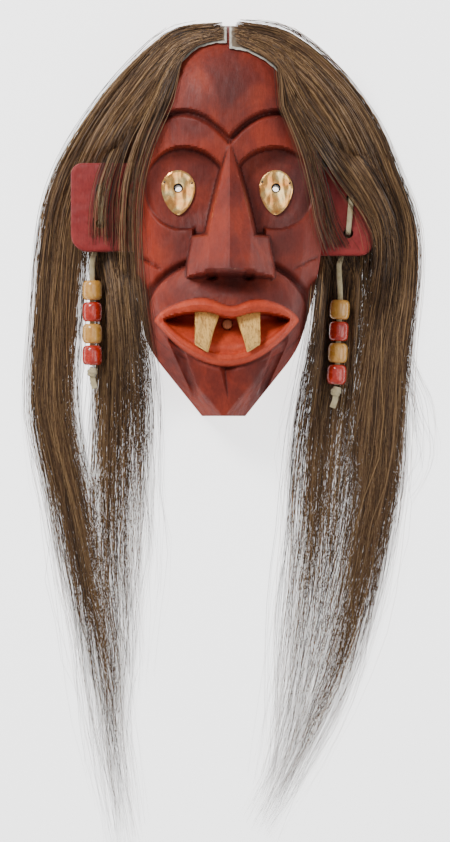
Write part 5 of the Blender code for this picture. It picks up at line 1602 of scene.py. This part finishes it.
def below_thong(side, x, y, z):
    """Keeps strands under the free thong, its beads and its knot, and clear of the stitch."""
    first = (bead_place(side, 0) + ORIGIN) / SCALE
    heading = bead_heading(side)
    exit_x, exit_y = THONG_EXIT[side]
    down = np.clip(first[1] - y, 0.0, None)
    lane_x = np.where(
        y > first[1],
        first[0] + (exit_x - first[0]) * np.clip((y - first[1]) / (exit_y - first[1]), 0.0, 1.0),
        first[0] + heading[0] / -heading[1] * down,
    )
    bead_under = BEAD_AXIS_HEIGHT - drawn(BEAD_DIAMETER) / 2 - 0.8
    thong_under = EAR_BACK - drawn(THONG_WIDTH) - 1.5
    ceiling = bead_under + (thong_under - bead_under) * ease(first[1] + 8.0, exit_y, y)
    knot_end = first[1] - drawn(BEAD_PITCH * BEAD_COUNT + KNOT_LENGTH + TAIL_LENGTH, 1)
    in_lane = ease(13.0, 9.0, np.abs(x - lane_x)) * ease(knot_end - 8.0, knot_end, y)
    in_lane = in_lane * ease(exit_y + 8.0, exit_y + 3.0, y)
    return z + (np.minimum(z, ceiling) - z) * in_lane


def strand_heights(side, x, y, lift, over_ear):
    """Height of each strand over what it lies on, evened along it, in drawn units."""
    bed = hair_bed(side, x, y, over_ear)
    if over_ear:
        (upper_x, upper_y), (lower_x, lower_y) = STITCH_HOLES[side]
        middle = upper_x + (lower_x - upper_x) * np.clip((upper_y - y) / (upper_y - lower_y), 0, 1)
        over = ease(7.0, 3.5, np.abs(x - middle)) * ease(upper_y + 9.0, upper_y + 4.0, y)
        over = over * ease(lower_y - 9.0, lower_y - 4.0, y)
        front = EAR_BACK + drawn(EAR_THICKNESS + THONG_THICKNESS + 0.001)
        bed = bed + np.maximum(front - bed, 0.0) * over
    z = bed + lift
    for _ in range(2):
        z[:, 1:-1] = 0.25 * z[:, :-2] + 0.5 * z[:, 1:-1] + 0.25 * z[:, 2:]
    z = np.maximum(z, bed + 0.25)
    if not over_ear:
        under = EAR_BACK - drawn(THONG_WIDTH) - 1.2
        z = z + (np.minimum(z, under) - z) * ease(5.0, 1.0, past_ear(side, x, y))
    return np.maximum(below_thong(side, x, y, z), 0.3)


def lay_along(route, t):
    """Places at shares t of a lock's route, the direction across it there, and its length."""
    path = smooth_route(route, LOCK_STEPS)
    heading = np.gradient(path, axis=0)
    heading /= np.linalg.norm(heading, axis=1, keepdims=True)
    across = np.stack([-heading[:, 1], heading[:, 0]], axis=1)
    place = t * (LOCK_STEPS - 1)
    centre, sideways = (
        np.stack([np.interp(place, np.arange(LOCK_STEPS), axis) for axis in lines.T], axis=-1)
        for lines in (path, across)
    )
    return centre, sideways, np.linalg.norm(np.diff(path, axis=0), axis=1).sum()


def strand_stations(count, from_hide, leading, rng):
    """Where each strand's points lie down its lock, as shares of the lock's length."""
    roots = rng.random(count) * (ROOTS_ON_HIDE if from_hide else ROOTS_BELOW)
    ends = np.interp(rng.random(count), *STRAND_ENDS)
    ends = 1.0 - (1.0 - ends) * (LEADING_LOCK_ENDS if leading else 1.0)
    near = np.linspace(0.0, NEAR_SHARE, STATIONS_NEAR, endpoint=False)
    steps = np.concatenate([near, np.linspace(NEAR_SHARE, 1.0, STATIONS_FAR)])
    return roots[:, None] + (ends - roots)[:, None] * steps


def sway(t, width, length, clumps, rng):
    """How far strands lie beside their lock's middle, which stray, and the clump each joins."""
    count = len(t)
    own = rng.uniform(-1.0, 1.0, count)
    stray = rng.random(count) < STRAY_SHARE
    own = np.where(stray, own * 1.5, own)
    seats = np.linspace(-0.9, 0.9, clumps) + rng.normal(0.0, 0.07, clumps)
    mine = np.abs(own[:, None] - seats).argmin(axis=1)
    held = rng.choice([0.2, 0.6, 0.93], count, p=[0.25, 0.25, 0.5])
    pull = ease(0.20, 0.60, t) * np.where(stray, 0.2, held)[:, None]
    spread = width * np.interp(t, *LOCK_SPREAD)
    shift = (own[:, None] * (1.0 - pull) + seats[mine][:, None] * pull) * spread / 2
    drift = rng.uniform(0.0, 2 * math.pi, (clumps, 2))[mine]
    for number, (size, low, high, wave) in enumerate(CLUMP_DRIFTS):
        swing = np.sin(t * wave + drift[:, number : number + 1])
        shift = shift + size * ease(low, high, t) * swing
    crossing = rng.normal(0.0, 1.0, (count, 2))
    shift = shift + CROSSING * crossing[:, :1] * ease(0.0, 0.30, t) * (1.0 + ease(0.3, 0.8, t))
    shift = shift - CROSSING * crossing[:, 1:] * ease(0.12, 0.60, t)
    phase = rng.uniform(0.0, 2 * math.pi, (count, 2))
    loose = (0.25 + 1.5 * rng.random(count) ** 2.5) * np.where(stray, 2.4, 1.0)
    for number, (run, size) in enumerate(STRAND_WAVES):
        swing = np.sin(t * (length / run) * 2 * math.pi + phase[:, number : number + 1])
        shift = shift + swing * (size * loose)[:, None] * (0.45 + 1.7 * ease(0.15, 0.9, t))
    return shift, stray, mine


def hold_at_head(side, plan, rng):
    """Keeps strands off the parting, and above the lower edge of the hide where it shows."""
    count = len(plan)
    sign = SIDES[side]
    own_x = sign * plan[..., 0]
    near_x = drawn(PARTING, 0) / 2 + 1.2 + 1.5 * rng.random((count, 1)) ** 2
    parted = np.maximum(own_x, near_x)
    plan[..., 0] = sign * np.where(plan[..., 1] > PARTING_FROM_Y, parted, own_x)
    edge = hide_lower_edge(side, plan[..., 0]) + 1.8 + 1.5 * rng.random((count, 1))
    low, high = HIDE_SHOWN[side]
    off = np.abs(plan[..., 0])
    hold = ease(high + 4.0, high - 4.0, off) * ease(low - 4.0, low, off)
    hold = hold * (plan[..., 1] > EDGE_FROM_Y)
    plan[..., 1] += np.maximum(edge - plan[..., 1], 0.0) * hold


def tones_of(t, depth, clumps, mine, rng):
    """The tone of each strand along it, alike within a clump: paler on top of the lock, with
    painted shade on the strands lying lower in it.
    """
    count = len(t)
    # Painted shade: the lower a strand lies in its lock, the darker its tone, here and again down
    # its length.
    tone = 0.02 + 0.42 * depth**1.5 + rng.normal(0.0, 0.27, count)
    tone = tone + np.where(rng.random(count) < 0.12, 0.40, 0.0)
    tone = tone + 0.12 * rng.normal(size=clumps)[mine]
    tone = tone[:, None] + 0.08 * ease(0.1, 0.4, t) * (depth[:, None] - 0.3)
    return np.clip(tone, 0.0, 1.0)


def grow_lock(side, lock, count, leading, rng):
    """Paths of one lock's strands, (strands, stations, 3) in drawn units, and their tones."""
    over_ear, width, route = lock
    t = strand_stations(count, route[0][1] > ROOTS_FROM_Y, leading, rng)
    centre, sideways, length = lay_along(route, t)
    clumps = 4 + round(width / CLUMP_EVERY)
    shift, stray, mine = sway(t, width, length, clumps, rng)
    plan = centre + sideways * shift[..., None]
    hold_at_head(side, plan, rng)
    depth = rng.random(count)
    lift = 0.25 + np.interp(t, *LOCK_FULLNESS) * depth[:, None]
    lift = lift + np.where(stray, 1.5, 0.0)[:, None] * ease(0.05, 0.3, t)
    z = strand_heights(side, plan[..., 0], plan[..., 1], lift, over_ear)
    return np.concatenate([plan, z[..., None]], axis=-1), tones_of(t, depth, clumps, mine, rng)


def strand_mesh(name, paths, tones, material):
    """Strands as slim ribbons, each turned its own way and drawn to a point, as one mesh."""
    count, stations = paths.shape[:2]
    side, up = frames_along(paths)
    roll = RNG.uniform(-STRAND_ROLL, STRAND_ROLL, (count, 1, 1))
    across = side * np.cos(roll) + up * np.sin(roll)
    share = np.linspace(0.0, 1.0, stations)
    taper = np.interp(share, *STRAND_TAPER)
    half = RNG.uniform(0.7, 1.3, (count, 1)) * taper * STRAND_WIDTH / 2
    reach = across * half[..., None]
    points = np.stack([paths - reach, paths + reach], axis=2)
    first = (np.arange(count)[:, None] * stations + np.arange(stations - 1)).ravel() * 2
    quads = np.stack([first, first + 1, first + 3, first + 2], axis=-1)
    obj = mesh_object(name, points, quads, material)
    paint(obj, "tone", np.repeat(tones.reshape(-1), 2))
    return obj


def add_hair(side, material):
    rng = np.random.default_rng(90 if side == "left" else 91)
    paths, tones = [], []
    for count, lock in (*zip(STRANDS[side], LOCKS[side]), *LOOSE_STRANDS[side]):
        leading = lock is LOCKS[side][0]
        grown, tone = grow_lock(side, lock, count, leading, rng)
        paths.append(world(grown))
        tones.append(tone)
    paths, tones = np.concatenate(paths), np.concatenate(tones)
    order = rng.permutation(len(paths))
    pieces = math.ceil(len(paths) / MOST_STRANDS_IN_A_PIECE)
    for number, chosen in enumerate(np.array_split(order, pieces), 1):
        piece = strand_mesh(f"horsehair_{side}_{number}", paths[chosen], tones[chosen], material)
        dress(piece, f"hair_{side}")


# Direction of the bright window in the sky, and the sky's brightness away from it.
WINDOW = (0.17, 0.14, 0.97)
SKY_STOPS = ((0.0, 5.2), (0.12, 4.4), (0.23, 0.85), (0.44, 0.8), (1.0, 0.85))
SKY_STRENGTH = 0.55
FLOOR_GLOW = 2.2
LIT_PLACE = Vector((0.0, 0.08, 0.04))


def add_floor():
    """A white sweep, bright enough to stay white round the mask's own soft shadow."""
    nodes = Nodes("floor")
    nodes.set(Base_Color=(0.96, 0.96, 0.96, 1.0), Roughness=0.9, Specular_IOR_Level=0.1)
    nodes.set(Emission_Color=(1.0, 1.0, 1.0, 1.0), Emission_Strength=FLOOR_GLOW)
    bpy.ops.mesh.primitive_plane_add(size=8.0, location=(0.0, 0.0, -0.0005))
    floor = bpy.context.object
    floor.name = "floor"
    floor.data.materials.append(nodes.material)


def add_light(name, size, energy, place):
    data = bpy.data.lights.new(name, "AREA")
    data.shape = "DISK"
    data.size = size
    data.energy = energy
    light = linked(name, data)
    light.location = place
    light.rotation_euler = (LIT_PLACE - Vector(place)).to_track_quat("-Z", "Y").to_euler()


def add_sky():
    """A pale sky with one bright window in it, which the copper and the paint mirror."""
    sky = bpy.data.worlds.new("pale sky")
    bpy.context.scene.world = sky
    sky.use_nodes = True
    tree = sky.node_tree
    background = tree.nodes["Background"]
    background.inputs["Strength"].default_value = SKY_STRENGTH
    where = tree.nodes.new("ShaderNodeTexCoord")
    away = tree.nodes.new("ShaderNodeVectorMath")
    away.operation = "DISTANCE"
    away.inputs[1].default_value = WINDOW
    ramp = tree.nodes.new("ShaderNodeValToRGB")
    set_stops(ramp.color_ramp, SKY_STOPS)
    tree.links.new(where.outputs["Generated"], away.inputs[0])
    tree.links.new(away.outputs["Value"], ramp.inputs["Fac"])
    tree.links.new(ramp.outputs["Color"], background.inputs["Color"])


def add_lights():
    """A broad soft key from the upper left and a weaker fill."""
    add_light("key", 0.6, 30.0, (-0.85, 0.95, 1.35))
    add_light("fill", 0.9, 5.0, (1.1, -0.1, 1.1))
    add_sky()


def main():
    add_camera()
    leather = suede("buckskin look", (0.66, 0.56, 0.34), (0.46, 0.36, 0.18))
    tan, red = tan_bead(), red_bead()
    for side in SIDES:
        add_thong(side, leather, tan, red)
    pale = split_wood("split wood look", (0.82, 0.48, 0.125), (0.42, 0.19, 0.04))
    dark = split_wood("stained stub look", (0.46, 0.15, 0.06), (0.18, 0.055, 0.022))
    sockets = [*add_pegs(pale), add_stub(dark)]
    add_face(painted_wood(), sockets)
    copper, steel = copper_sheet(), tack_steel()
    hide = raw_hide()
    hair = horsehair()
    for side in SIDES:
        add_eye(side, copper, steel)
        add_hide(side, hide)
        add_hair(side, hair)
    add_floor()
    add_lights()


main()
